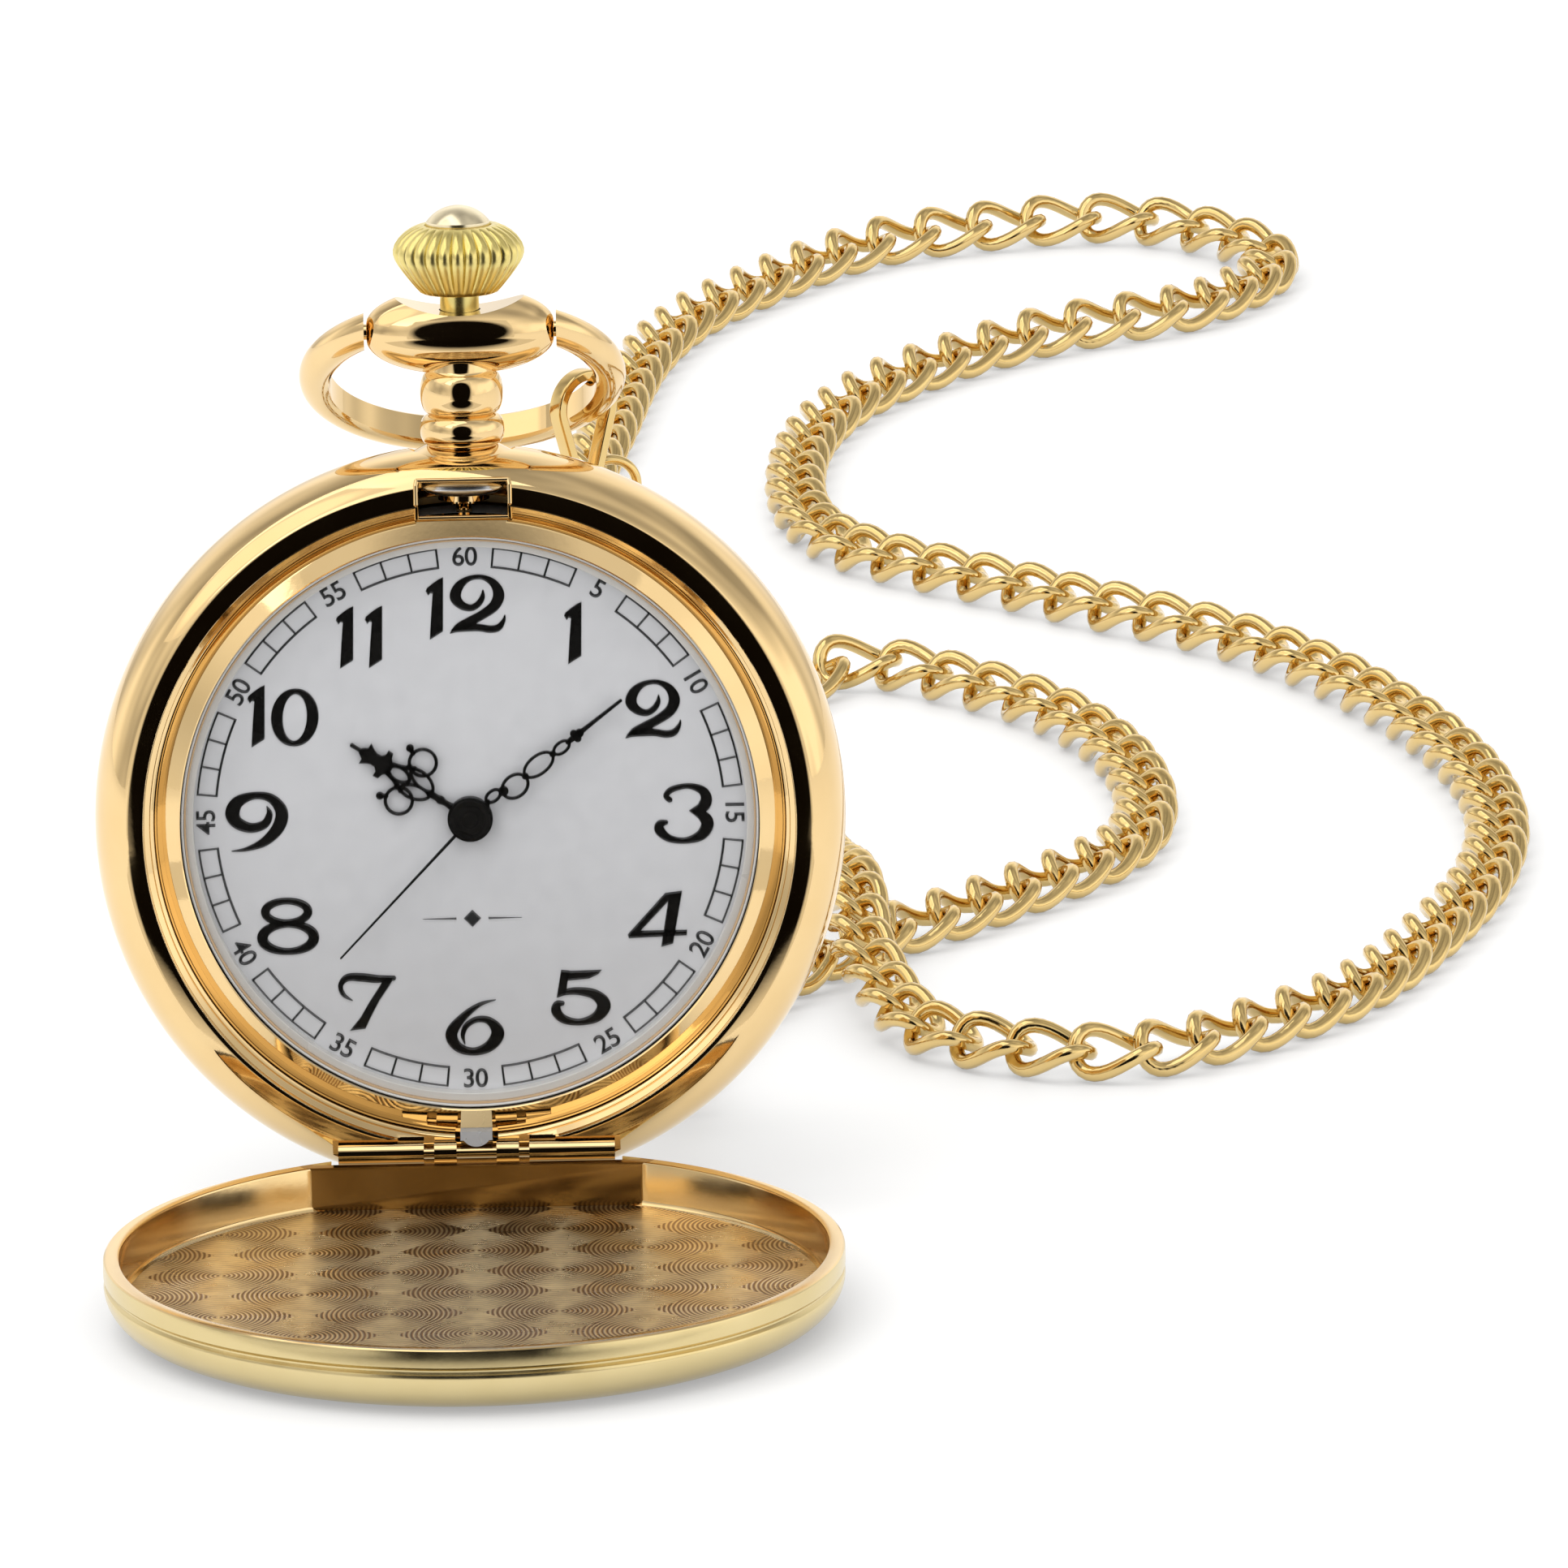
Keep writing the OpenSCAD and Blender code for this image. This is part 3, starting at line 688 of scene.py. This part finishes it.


# Each figure is drawn in a box 100 high, as outlines and pen strokes (x, y, width)
FIGURES = {
    "1": [("face", [(28, 100), (27, 56), (26, 13), (5, 0), (8, 41), (11, 74), (7, 75), (4, 71),
                    (0, 78), (2, 83), (12, 91), (21, 97)])],
    "2": flat_stroke([(54, 78, 2), (53, 67, 8), (46, 56, 10), (34, 50, 11), (19, 55, 14),
                      (10, 68, 18), (16, 85, 15), (32, 97, 9), (53, 99, 8), (71, 89, 13),
                      (79, 71, 18), (72, 53, 17), (53, 39, 15), (32, 28, 15), (14, 19, 13),
                      (1, 10, 2)])
         + flat_stroke([(5, 14, 6), (26, 19, 14), (47, 18, 12), (65, 15, 12), (78, 18, 11),
                        (86, 29, 6), (88, 37, 2)]),
    "3": flat_stroke([(26, 71, 9), (20, 78, 9), (30, 88, 10), (55, 93, 9), (77, 86, 14),
                      (84, 72, 18), (77, 58, 18), (57, 53, 2)])
         + flat_stroke([(57, 53, 2), (77, 45, 17), (85, 31, 20), (74, 13, 17), (49, 5, 10),
                        (24, 9, 12), (9, 22, 16), (10, 32, 14), (19, 35, 8)]),
    "4": [("face", [(61, 88), (88, 91), (86, 84), (67, 76), (21, 28), (0, 22)]),
          ("face", [(88, 91), (68, 89), (53, 1), (72, 6)]),
          ("face", [(0, 22), (2, 16), (94, 19), (95, 28), (20, 28)])],
    "5": [("face", [(17, 90), (30, 89), (24, 53), (9, 45)]),
          ("face", [(17, 90), (25, 88), (82, 89), (76, 82), (61, 75), (24, 72)])]
         + flat_stroke([(10, 46, 2), (25, 54, 10), (45, 55, 13), (70, 49, 17), (84, 32, 22),
                        (72, 13, 17), (45, 5, 11), (20, 10, 14), (8, 23, 16), (10, 34, 13),
                        (18, 36, 8)]),
    "6": flat_stroke([(81, 90, 2), (56, 83, 7), (29, 63, 13), (10, 37, 19), (20, 15, 16),
                      (45, 7, 13), (71, 16, 18), (84, 37, 21), (71, 56, 13), (51, 59, 10),
                      (34, 49, 9), (28, 34, 7), (31, 20, 2)]),
    "7": flat_stroke([(23, 49, 2), (9, 59, 7), (5, 74, 8), (16, 86, 12), (39, 86, 14),
                      (64, 83, 13), (90, 84, 8)])
         + [("face", [(92, 88), (84, 88), (70, 76), (49, 44), (36, 22), (18, 0), (43, 3), (52, 22),
                      (66, 48), (84, 74)])],
    "8": ellipse_stroke(47.5, 70, 34, 17.5, 14, 11) + ellipse_stroke(49, 28, 41, 22, 17, 11),
    "9": flat_stroke([(66, 72, 2), (70, 60, 10), (62, 44, 14), (40, 38, 16), (18, 47, 20),
                      (11, 63, 23), (21, 81, 19), (47, 90, 12), (73, 85, 15), (89, 64, 20),
                      (84, 39, 20), (62, 16, 15), (33, 4, 7), (9, 1, 2)]),
    "0": ellipse_stroke(37, 47, 28.5, 42, 18.5, 9, lean=2.0),
}
NUMERAL_HEIGHT = 3.93
NUMERAL_RADIUS = 13.35
TRACK_IN, TRACK_OUT, TRACK_LINE = 15.85, 17.17, 0.12
NUMBER_RADIUS = 16.55


def extent(shapes):
    xs = [p[0] for shape in shapes for row in shape[1:] for p in row]
    ys = [p[1] for shape in shapes for row in shape[1:] for p in row]
    return min(xs), max(xs), min(ys), max(ys)


def moved(shapes, dx, dy, scale=1.0):
    return [(shape[0], *([(x * scale + dx, y * scale + dy) for x, y in row] for row in shape[1:]))
            for shape in shapes]


printed = []
for hour in range(1, 13):
    word, cursor = [], 0.0
    text = str(hour)
    for figure in text:
        left, right, _, _ = extent(FIGURES[figure])
        word += moved(FIGURES[figure], cursor - left, 0)
        cursor += right - left + (18 if text == "11" else 9)
    left, right, low, high = extent(word)
    scale = NUMERAL_HEIGHT / 100
    angle = math.radians(30 * hour)
    cx, cy = NUMERAL_RADIUS * math.sin(angle), NUMERAL_RADIUS * math.cos(angle)
    printed += moved(word, cx - (left + right) / 2 * scale, cy - (low + high) / 2 * scale, scale)
finish_mesh("dial_numerals", slab(printed, PRINT_LOW, PRINT_HIGH + 0.02, WATCH), "case",
            ink, sharp=20)

track = []


def arc_band(r_in, r_out, start, end, steps=10):
    """A thin curved bar, angles clockwise from 12 in degrees."""
    angles = [math.radians(start + (end - start) * i / steps) for i in range(steps + 1)]
    outline = [(r_out * math.sin(a), r_out * math.cos(a)) for a in angles]
    outline += [(r_in * math.sin(a), r_in * math.cos(a)) for a in reversed(angles)]
    return ("face", outline)


for group in range(12):
    base = 30 * group
    track.append(arc_band(TRACK_IN, TRACK_IN + 0.15, base + 5.8, base + 24.2))
    track.append(arc_band(TRACK_OUT - TRACK_LINE, TRACK_OUT, base + 5.8, base + 24.2))
    for minute in range(1, 5):
        middle = base + 6 * minute
        track.append(arc_band(TRACK_IN, TRACK_OUT, middle - 0.23, middle + 0.23, 1))
# small plain mark under the hands: a diamond between two bars
track += [("face", [(0, -5.85), (0.55, -6.4), (0, -6.95), (-0.55, -6.4)])]
for side in (-1, 1):
    bar = [(side * 1.0, -6.33), (side * 3.1, -6.38), (side * 3.1, -6.42), (side * 1.0, -6.47)]
    track.append(("face", bar[::side]))
finish_mesh("minute_track", slab(track, PRINT_LOW, PRINT_HIGH, WATCH), "case",
            track_ink, sharp=20)


def small_numbers():
    """The minute numbers, upright in the upper half and turned over in the lower."""
    meshes = []
    for k in range(12):
        angle = math.radians(30 * k)
        text = bpy.data.curves.new("number", "FONT")
        text.body = str(5 * k if k else 60)
        text.size = 1.68
        text.space_character = 0.95
        text.offset = 0.022
        text.extrude = 0.012
        text.align_x = "CENTER"
        text.resolution_u = 4
        shape = mesh_from(text)
        xs = [v.co.x for v in shape.vertices]
        ys = [v.co.y for v in shape.vertices]
        centre = Vector(((min(xs) + max(xs)) / 2, (min(ys) + max(ys)) / 2, 0))
        upright = 0 if k in (9, 10, 11, 0, 1, 2, 3) else math.pi
        spot = (NUMBER_RADIUS * math.sin(angle), NUMBER_RADIUS * math.cos(angle), 0.708)
        shape.transform(WATCH @ Matrix.Translation(spot) @ Matrix.Rotation(-angle + upright, 4, "Z")
                        @ Matrix.Translation(-centre))
        meshes.append(shape)
    return join("minute_numbers", meshes)


finish_mesh("minute_numbers", small_numbers(), "case", track_ink, sharp=20)

# ---- hands: s runs from the centre to the tip, w to the right of it ----

HOUR_ANGLE, MINUTE_ANGLE, SECOND_ANGLE = 303.2, 52.5, 223.8  # degrees clockwise from 12


def ellipse(s, w, a, b, count):
    turns = [2 * math.pi * k / count for k in range(count)]
    return [(w + a * math.cos(t), s + b * math.sin(t)) for t in turns]


def blob(s, w, r, count=14):
    return ("face", ellipse(s, w, r, r, count))


def hoop(s, w, r_out, wire, long=None):
    a, b = r_out - wire / 2, (long or r_out) - wire / 2
    return flat_stroke([(x, y, wire) for x, y in ellipse(s, w, a, b, 16)], closed=True)[0]


def almond(s, w, half_long, half_wide, wire, lean=0.0):
    """A leaf-shaped opening with a wire rim."""
    points = []
    for k in range(16):
        t = 2 * math.pi * k / 16
        x = half_wide * math.sin(t) * abs(math.sin(t)) ** 0.3
        y = half_long * math.cos(t)
        points.append((w + x * math.cos(lean) - y * math.sin(lean),
                       s + x * math.sin(lean) + y * math.cos(lean), wire))
    return flat_stroke(points, closed=True)[0]


def hub(r_out, r_in):
    return ("ring", *(ellipse(0, 0, r, r, 48) for r in (r_out, r_in)))


def hand_place(degrees, z):
    return WATCH @ Matrix.Rotation(-math.radians(degrees), 4, "Z") @ Matrix.Translation((0, 0, z))


hour_shapes = [hub(1.42, 1.1)]
hour_shapes += flat_stroke([(0, 1.3, 0.5), (0, 1.8, 0.36), (0, 2.2, 0.55), (0, 2.5, 0.4),
                            (0, 2.95, 0.5)])
hour_shapes += [
    almond(3.84, 0.45, 0.95, 0.42, 0.2, lean=-0.25),
    almond(3.84, -0.45, 0.95, 0.42, 0.2, lean=0.25), hoop(4.38, 1.42, 0.95, 0.21),
    hoop(4.38, -1.42, 0.95, 0.21), almond(5.25, 0, 0.75, 0.42, 0.22), blob(5.55, 1.78, 0.25),
    blob(5.55, -1.78, 0.25), blob(4.95, 0.75, 0.2), blob(4.95, -0.75, 0.2)]
hour_shapes += flat_stroke([(1.74, 5.5, 0.3), (1.6, 5.2, 0.3)])
hour_shapes += flat_stroke([(-1.74, 5.5, 0.3), (-1.6, 5.2, 0.3)])
hour_shapes += flat_stroke([(0.85, 4.6, 0.3), (0.5, 5.3, 0.28), (0.3, 6.0, 0.3)])
hour_shapes += flat_stroke([(-0.85, 4.6, 0.3), (-0.5, 5.3, 0.28), (-0.3, 6.0, 0.3)])
right_edge = [(0.18, 8.1), (0.42, 7.75), (0.75, 7.75), (0.5, 7.35), (0.4, 7.1), (0.42, 6.8),
              (0.62, 6.6), (0.95, 6.6), (0.92, 6.25), (0.6, 6.15), (0.4, 5.95), (0.3, 5.8)]
hour_shapes.append(("face", right_edge + [(-x, y) for x, y in reversed(right_edge)]))
hour_shapes += flat_stroke([(0, 7.9, 0.3), (0, 8.4, 0.24), (0, 8.72, 0.28)])
hour_mesh = slab(hour_shapes, 0.0, 0.15, hand_place(HOUR_ANGLE, 0.95))
hour = finish_mesh("hour_pointer", hour_mesh, "hour", ink, sharp=20)
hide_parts("hour_hand")

minute_shapes = [hub(1.42, 0.78), hoop(2.04, -0.25, 0.42, 0.2, long=0.62), blob(2.74, -0.1, 0.33),
                 hoop(3.5, 0.12, 0.78, 0.2, long=0.98), hoop(5.5, -0.02, 0.66, 0.19, long=1.16),
                 hoop(7.3, 0.02, 0.42, 0.19, long=0.66), blob(4.4, 0.02, 0.22), blob(6.62, 0, 0.22)]
minute_shapes += flat_stroke([(0, 1.3, 0.4), (-0.2, 1.6, 0.25)])
minute_shapes += flat_stroke([(0, 7.8, 0.3), (0, 8.3, 0.4)])
minute_shapes += [blob(8.45, 0.2, 0.24), blob(8.45, -0.2, 0.24), blob(8.75, 0, 0.28)]
minute_shapes += flat_stroke([(0, 8.7, 0.42), (0, 9.1, 0.3), (0, 10.5, 0.24), (0, 12.05, 0.2)])
minute_mesh = slab(minute_shapes, 0.0, 0.15, hand_place(MINUTE_ANGLE, 1.25))
minute = finish_mesh("minute_pointer", minute_mesh, "minute", ink, sharp=20)
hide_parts("minute_hand")

second_shapes = [hub(1.4, 0.42)] + flat_stroke([(0, 1.2, 0.2), (0, 6, 0.15), (0, 11.95, 0.12)])
second_mesh = slab(second_shapes, 0.0, 0.1, hand_place(SECOND_ANGLE, 1.55))
second = finish_mesh("second_pointer", second_mesh, "second", ink, sharp=20)
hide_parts("second_hand")

cap_outline = [(0, 1.65), (1.25, 1.65), (1.28, 1.7), (1.22, 1.74), (1.05, 1.74), (1.0, 1.71),
               (0.92, 1.71), (0.88, 1.76), (0.75, 1.79), (0.6, 1.79), (0.55, 1.75), (0.45, 1.75),
               (0.4, 1.8), (0.2, 1.83), (0, 1.83)]
cap = finish_mesh("hub_cap", lathe("hub_cap", cap_outline, WATCH, 64), "second", ink)
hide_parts("hand_cap")

# ---- cover ----

band = arc((19.4, 6.1), 3.5, COVER_TOP - 6.1, 90, 2, 26)
cover_outline = [
    (0, COVER_TOP), *band, (22.84, 6.05), (22.74, 5.98), (22.66, 5.88), (22.66, 5.78),
    (22.74, 5.68), (22.84, 5.62), (22.9, 5.54), (22.9, 4.62), (22.86, 4.52), (22.76, 4.45),
    (22.05, 4.45), (21.94, 4.5), (21.9, 4.6), (21.9, 6.9), (21.85, 7.1), (21.75, 7.22),
    (21.6, 7.3), (21.5, 7.4), (0, 7.4)]
cover_mesh = combine(lathe("cover_pan", cover_outline, COVER, 320), [
    box_mesh("chord", (-15, -26, 0), (15, -20.9, 12), COVER),
    box_mesh("recess", (-9.1, -26, 0), (9.1, -20, 12), COVER)])
wall_half = math.sqrt(22.4 ** 2 - 20 ** 2)
wall_outline = [(-wall_half, -20), (wall_half, -20), (wall_half + 1.3, -19.3),
                (-wall_half - 1.3, -19.3)]
wall_mesh = prism("wall", wall_outline, 4.45, 7.45, COVER)
cover = finish_mesh("cover_pan", combine(cover_mesh, [wall_mesh], "UNION"), "front_cover",
                    satin)
cover.data.materials.append(inner_gold)
cover.data.materials.append(painted_shade_gold)
into_cover = COVER.inverted()
# slot 1 is the cover's inside and its rim, slot 2 the straight wall at the hinge, its gold darkened
# as painted shade
for face in cover.data.polygons:
    x, y, z = into_cover @ face.center
    if (math.hypot(x, y) < 22.0 or z < 4.5) and z < 7.6 and y > -20.05:
        face.material_index = 2 if y < -19.25 and abs(x) < 11 else 1
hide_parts("cover_shell")

liner_outline = [(0, 7.2), (21.5, 7.2), (21.55, 7.25), (21.55, 7.4), (0, 7.4)]
floor_mesh = combine(lathe("cover_liner", liner_outline, COVER, 192),
                     [box_mesh("chord", (-15, -26, 0), (15, -19.28, 12), COVER)])
liner = finish_mesh("cover_liner", floor_mesh, "front_cover", grained_painted_sheen)
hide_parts("cover_floor")

# ---- pendant ----

saddle_profile = [(0, -5.85), (0.6, -5.85)] + [
    (2.75 * math.cos(math.radians(t)) ** 0.82,
     5.8 * math.sin(math.radians(t)) / math.sin(math.radians(76)))
    for t in range(-76, 77, 4)] + [(0.6, 5.85), (0, 5.85)]
across = WATCH @ Matrix.Translation((0, PIVOT_Y, STEM_Z)) @ Matrix.Rotation(math.pi / 2, 4, "Y")
saddle_mesh = combine(lathe("saddle_boss", saddle_profile, across, 128), [
    rod("dip", 9.6, -6, 6, WATCH @ Matrix.Translation((0, 41.45, 0)), 256),
    rod("bore", 1.3, 24, 36, STEM)])
saddle = finish_mesh("saddle_boss", saddle_mesh, "case", gold)
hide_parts("saddle")

neck_outline = [(0, 22), (3.4, 22), (3.4, 22.75), (3.3, 22.9), (2.9, 23.1), (2.5, 23.3),
                (2.2, 23.45)]
neck_outline += arc((2.1, 24.4), 0.55, 0.95, -80, 80, 14)
neck_outline += [(2.05, 25.4)] + arc((2.1, 26.75), 0.5, 1.3, -80, 80, 16)
neck_outline += [(2.1, 28.2), (2.1, 29.4), (0, 29.4)]
neck_mesh = combine(lathe("neck_beads", neck_outline, STEM, 128), [
    box_mesh("trim", (-4, -1, -5), (4, 22, 4), WATCH),
    rod("bore", 1.3, 24, 34, STEM)])
neck = finish_mesh("neck_beads", neck_mesh, "case", gold)
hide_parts("neck")

# ---- bow ----

BOW_R, WIRE = 9.15, 1.1
reach = math.sqrt(BOW_R ** 2 - 6.1 ** 2)  # of the ring's centre from the pivot
flat_at = -0.75
edge = math.degrees(math.acos(flat_at / WIRE))
section = [(BOW_R + x, z) for x, z in arc((0, 0), WIRE, WIRE, -edge, edge, 28)]
bow_mesh = combine(lathe("bow_ring", section, BOW @ Matrix.Translation((0, reach, 0)), 256), [
    box_mesh("gap", (-6.0, -4, -3), (6.0, 3, 3), BOW)])
pin = Matrix.Rotation(math.pi / 2, 4, "Y")
pins = [rod("pin", 0.5, -6.85, -4.95, BOW @ pin, 32), rod("pin", 0.5, 4.95, 6.85, BOW @ pin, 32)]
bow = finish_mesh("bow_ring", join("bow_ring", [bow_mesh, *pins]), "bow", gold)
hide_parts("bow")


def clasp_mesh():
    """A flat pear-shaped loop with an eye, its edges rounded."""
    big, small, drop = 2.4, 1.05, 4.5
    half = math.pi / 2 + math.asin((big - small) / drop)
    rest = math.pi - half

    def pear(top, foot):
        line = [(top * math.sin(t / 24 * half), top * math.cos(t / 24 * half))
                for t in range(-24, 25)]
        line += [(-foot * math.sin(t / 10 * rest), -drop - foot * math.cos(t / 10 * rest))
                 for t in range(-10, 11)]
        return line

    curve = bpy.data.curves.new("clasp", "CURVE")
    curve.dimensions = "2D"
    curve.fill_mode = "BOTH"
    curve.extrude = 0.4
    curve.bevel_depth = 0.14
    curve.bevel_resolution = 3
    curve.offset = -0.14
    band = 0.66
    for loop in (pear(big, small), pear(1.74, small - band)):
        spline = curve.splines.new("POLY")
        spline.points.add(len(loop) - 1)
        spline.use_cyclic_u = True
        for point, (x, y) in zip(spline.points, loop):
            point.co = (x, y, 0, 1)
    mesh = mesh_from(curve)
    mesh.transform(WORLD @ Matrix.Translation((7.5, 39.43, 48.15))
                   @ Matrix.Rotation(math.radians(41), 4, "Z")
                   @ Matrix.Rotation(math.pi / 2, 4, "X"))
    return mesh


hook = finish_mesh("clasp_loop", clasp_mesh(), "bow", chain_finish)
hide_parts("clasp_hook")
ring_place = (WORLD @ Matrix.Translation((9.1, 41, 42.6))
              @ Matrix.Rotation(math.radians(15), 4, "Z")
              @ Matrix.Rotation(math.pi / 2, 4, "X"))
ring_mesh = lathe("link_ring", [(1.7 + x, z) for x, z in arc((0, 0), 0.32, 0.32, 0, 345, 23)],
                  ring_place, 96)
link_ring = finish_mesh("link_ring", ring_mesh, "bow", chain_finish, sharp=60)
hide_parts("jump_ring")

# ---- crown ----

FLUTES, FLUTE_DEPTH = 28, 0.26
crown_line = [
    (2.07, 35.5), (2.07, 37.2), (2.12, 37.28), (2.3, 37.3), (2.6, 37.24), (3.0, 37.06),
    (3.4, 36.8), (3.74, 36.48), (3.98, 36.12), (4.1, 35.75), (4.1, 35.45), (4.0, 35.12),
    (3.82, 34.8), (3.56, 34.42), (3.26, 34.02), (2.95, 33.64), (2.66, 33.3), (2.45, 33.08),
    (2.25, 33.0), (1.27, 33.0), (1.27, 34.4), (0.6, 34.4), (0.6, 35.5)]


def fluted(angle, radius, _height):
    if radius < 2.4:
        return radius
    depth = FLUTE_DEPTH * min(1.0, (radius - 2.2) / 1.0)
    return radius - depth * (1 - abs(math.cos(angle * FLUTES / 2)) ** 0.7)


crown_mesh = lathe("crown_knob", crown_line, STEM, FLUTES * 14, shape=fluted)
crown = finish_mesh("crown_knob", crown_mesh, "crown_knob", crown_finish, sharp=38)
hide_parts("crown")

DOME_R, DOME_TOP, DOME_ARC = 1.98, 38.5, math.radians(53.6)
button_line = [(0, 36.7), (DOME_R, 36.7), (DOME_R, 37.5)] + [
    (DOME_R * math.sin(a) / math.sin(DOME_ARC),
     DOME_TOP - DOME_R / math.sin(DOME_ARC) * (1 - math.cos(a)))
    for a in (math.radians(degrees) for degrees in range(50, -1, -5))]
button_mesh = combine(lathe("push_dome", button_line, STEM, 96),
                      [rod("bore", 0.5, 36, 37.1, STEM, 32)])
button = finish_mesh("push_dome", button_mesh, "button", pale)
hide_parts("push_button")

# ---- stage ----

def sheet(name, centre, size, material, facing=(0, 0, 1)):
    """A flat board of the stage."""
    mesh = bpy.data.meshes.new(name)
    x, y = size[0] / 2, size[1] / 2
    mesh.from_pydata([(-x, -y, 0), (x, -y, 0), (x, y, 0), (-x, y, 0)], [], [(0, 1, 2, 3)])
    mesh.materials.append(material)
    holder = bpy.data.objects.new(name, mesh)
    scene.collection.objects.link(holder)
    turned = Vector(facing).to_track_quat("Z", "Y").to_matrix().to_4x4()
    holder.matrix_world = Matrix.Translation(centre) @ turned
    holder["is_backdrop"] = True
    return holder


# The table glows a little, as a light table does, so that contact shadows stay weak
table_finish = surface("table", ((0.62, 0.62, 0.62), (0.64, 0.64, 0.64)), (0.5, 0.6), metallic=0.0,
                       grain=8, Emission_Color=(1, 1, 1, 1), Emission_Strength=0.36)
sheet("table", (0, 0.2, -0.00003), (4, 4), table_finish)


def card(name, centre, size, shade, facing=None, fade=False):
    """A plain board that only reflections see. With fade, its rim melts into the studio."""
    material, nodes, links = new_material(name)
    shader = nodes["Principled BSDF"]
    shader.inputs["Base Color"].default_value = (0, 0, 0, 1)
    shader.inputs["Specular IOR Level"].default_value = 0
    shader.inputs["Roughness"].default_value = 1
    shader.inputs["Emission Color"].default_value = (*shade, 1)
    shader.inputs["Emission Strength"].default_value = 1
    if fade:
        tree = material.node_tree
        place = nodes.new("ShaderNodeTexCoord")
        split = nodes.new("ShaderNodeSeparateXYZ")
        links.new(place.outputs["Generated"], split.inputs[0])
        x, y = (math_node(tree, "MULTIPLY", math_node(tree, "SUBTRACT", split.outputs[i], 0.5), 2.0)
                for i in (0, 1))
        rim = spread(tree, distance(tree, x, y), 0.0, 0.85, 0.78, 1.0)
        links.new(blend_colours(tree, rim, shade, (1.0, 0.98, 0.95)),
                  shader.inputs["Emission Color"])
    board = sheet(name, centre, size, material, facing=facing or dial_centre - Vector(centre))
    board.visible_camera = False
    board.visible_diffuse = False
    board.visible_shadow = False
    board.visible_transmission = False
    return board


DARK = (0.004, 0.003, 0.002)
card("camera_side", dial_centre + Vector((0, -0.25, 0.075)), (0.29, 0.35), DARK, (0, 1, 0), True)
card("table_side", Vector((0, -0.18, 0.0004)), (0.21, 0.3), DARK, (0, 0, 1), True)
card("softbox", Vector((-0.45, -0.1, 0.55)), (0.5, 0.6), (1.5, 1.42, 1.3), fade=True)

# The room is plain white. Polished metal sees it with soft patches, dimmer overhead
world = bpy.data.worlds.new("studio")
scene.world = world
world.use_nodes = True
sky = world.node_tree
plain = sky.nodes["Background"]
plain.inputs["Color"].default_value = (1.0, 0.99, 0.975, 1)
studio = sky.nodes.new("ShaderNodeBackground")
studio.inputs["Color"].default_value = (1.0, 0.98, 0.94, 1)
around = sky.nodes.new("ShaderNodeTexCoord")
clouds = sky.nodes.new("ShaderNodeTexNoise")
clouds.inputs["Scale"].default_value = 1.6
clouds.inputs["Detail"].default_value = 1.0
sky.links.new(around.outputs["Generated"], clouds.inputs["Vector"])
height = sky.nodes.new("ShaderNodeSeparateXYZ")
sky.links.new(around.outputs["Generated"], height.inputs[0])
overhead = spread(sky, height.outputs[2], 1.05, 0.7, 0.25, 0.85)
patches = spread(sky, clouds.outputs["Fac"], 0.5, 1.35)
sky.links.new(math_node(sky, "MULTIPLY", patches, overhead), studio.inputs["Strength"])
rays = sky.nodes.new("ShaderNodeLightPath")
choose = sky.nodes.new("ShaderNodeMixShader")
sky.links.new(rays.outputs["Is Glossy Ray"], choose.inputs[0])
sky.links.new(plain.outputs[0], choose.inputs[1])
sky.links.new(studio.outputs[0], choose.inputs[2])
sky.links.new(choose.outputs[0], sky.nodes["World Output"].inputs["Surface"])

key = bpy.data.objects.new("key", bpy.data.lights.new("key", "AREA"))
scene.collection.objects.link(key)
key.data.energy = 3
key.data.size = 0.9
key.location = (-0.35, -0.15, 0.7)
key.rotation_euler = (Vector((0, 0.03, 0.02)) - Vector(key.location)).to_track_quat("-Z",
                                                                                    "Y").to_euler()
scene.view_settings.view_transform = "Standard"
scene.cycles.caustics_reflective = False
scene.cycles.caustics_refractive = False

low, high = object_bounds()
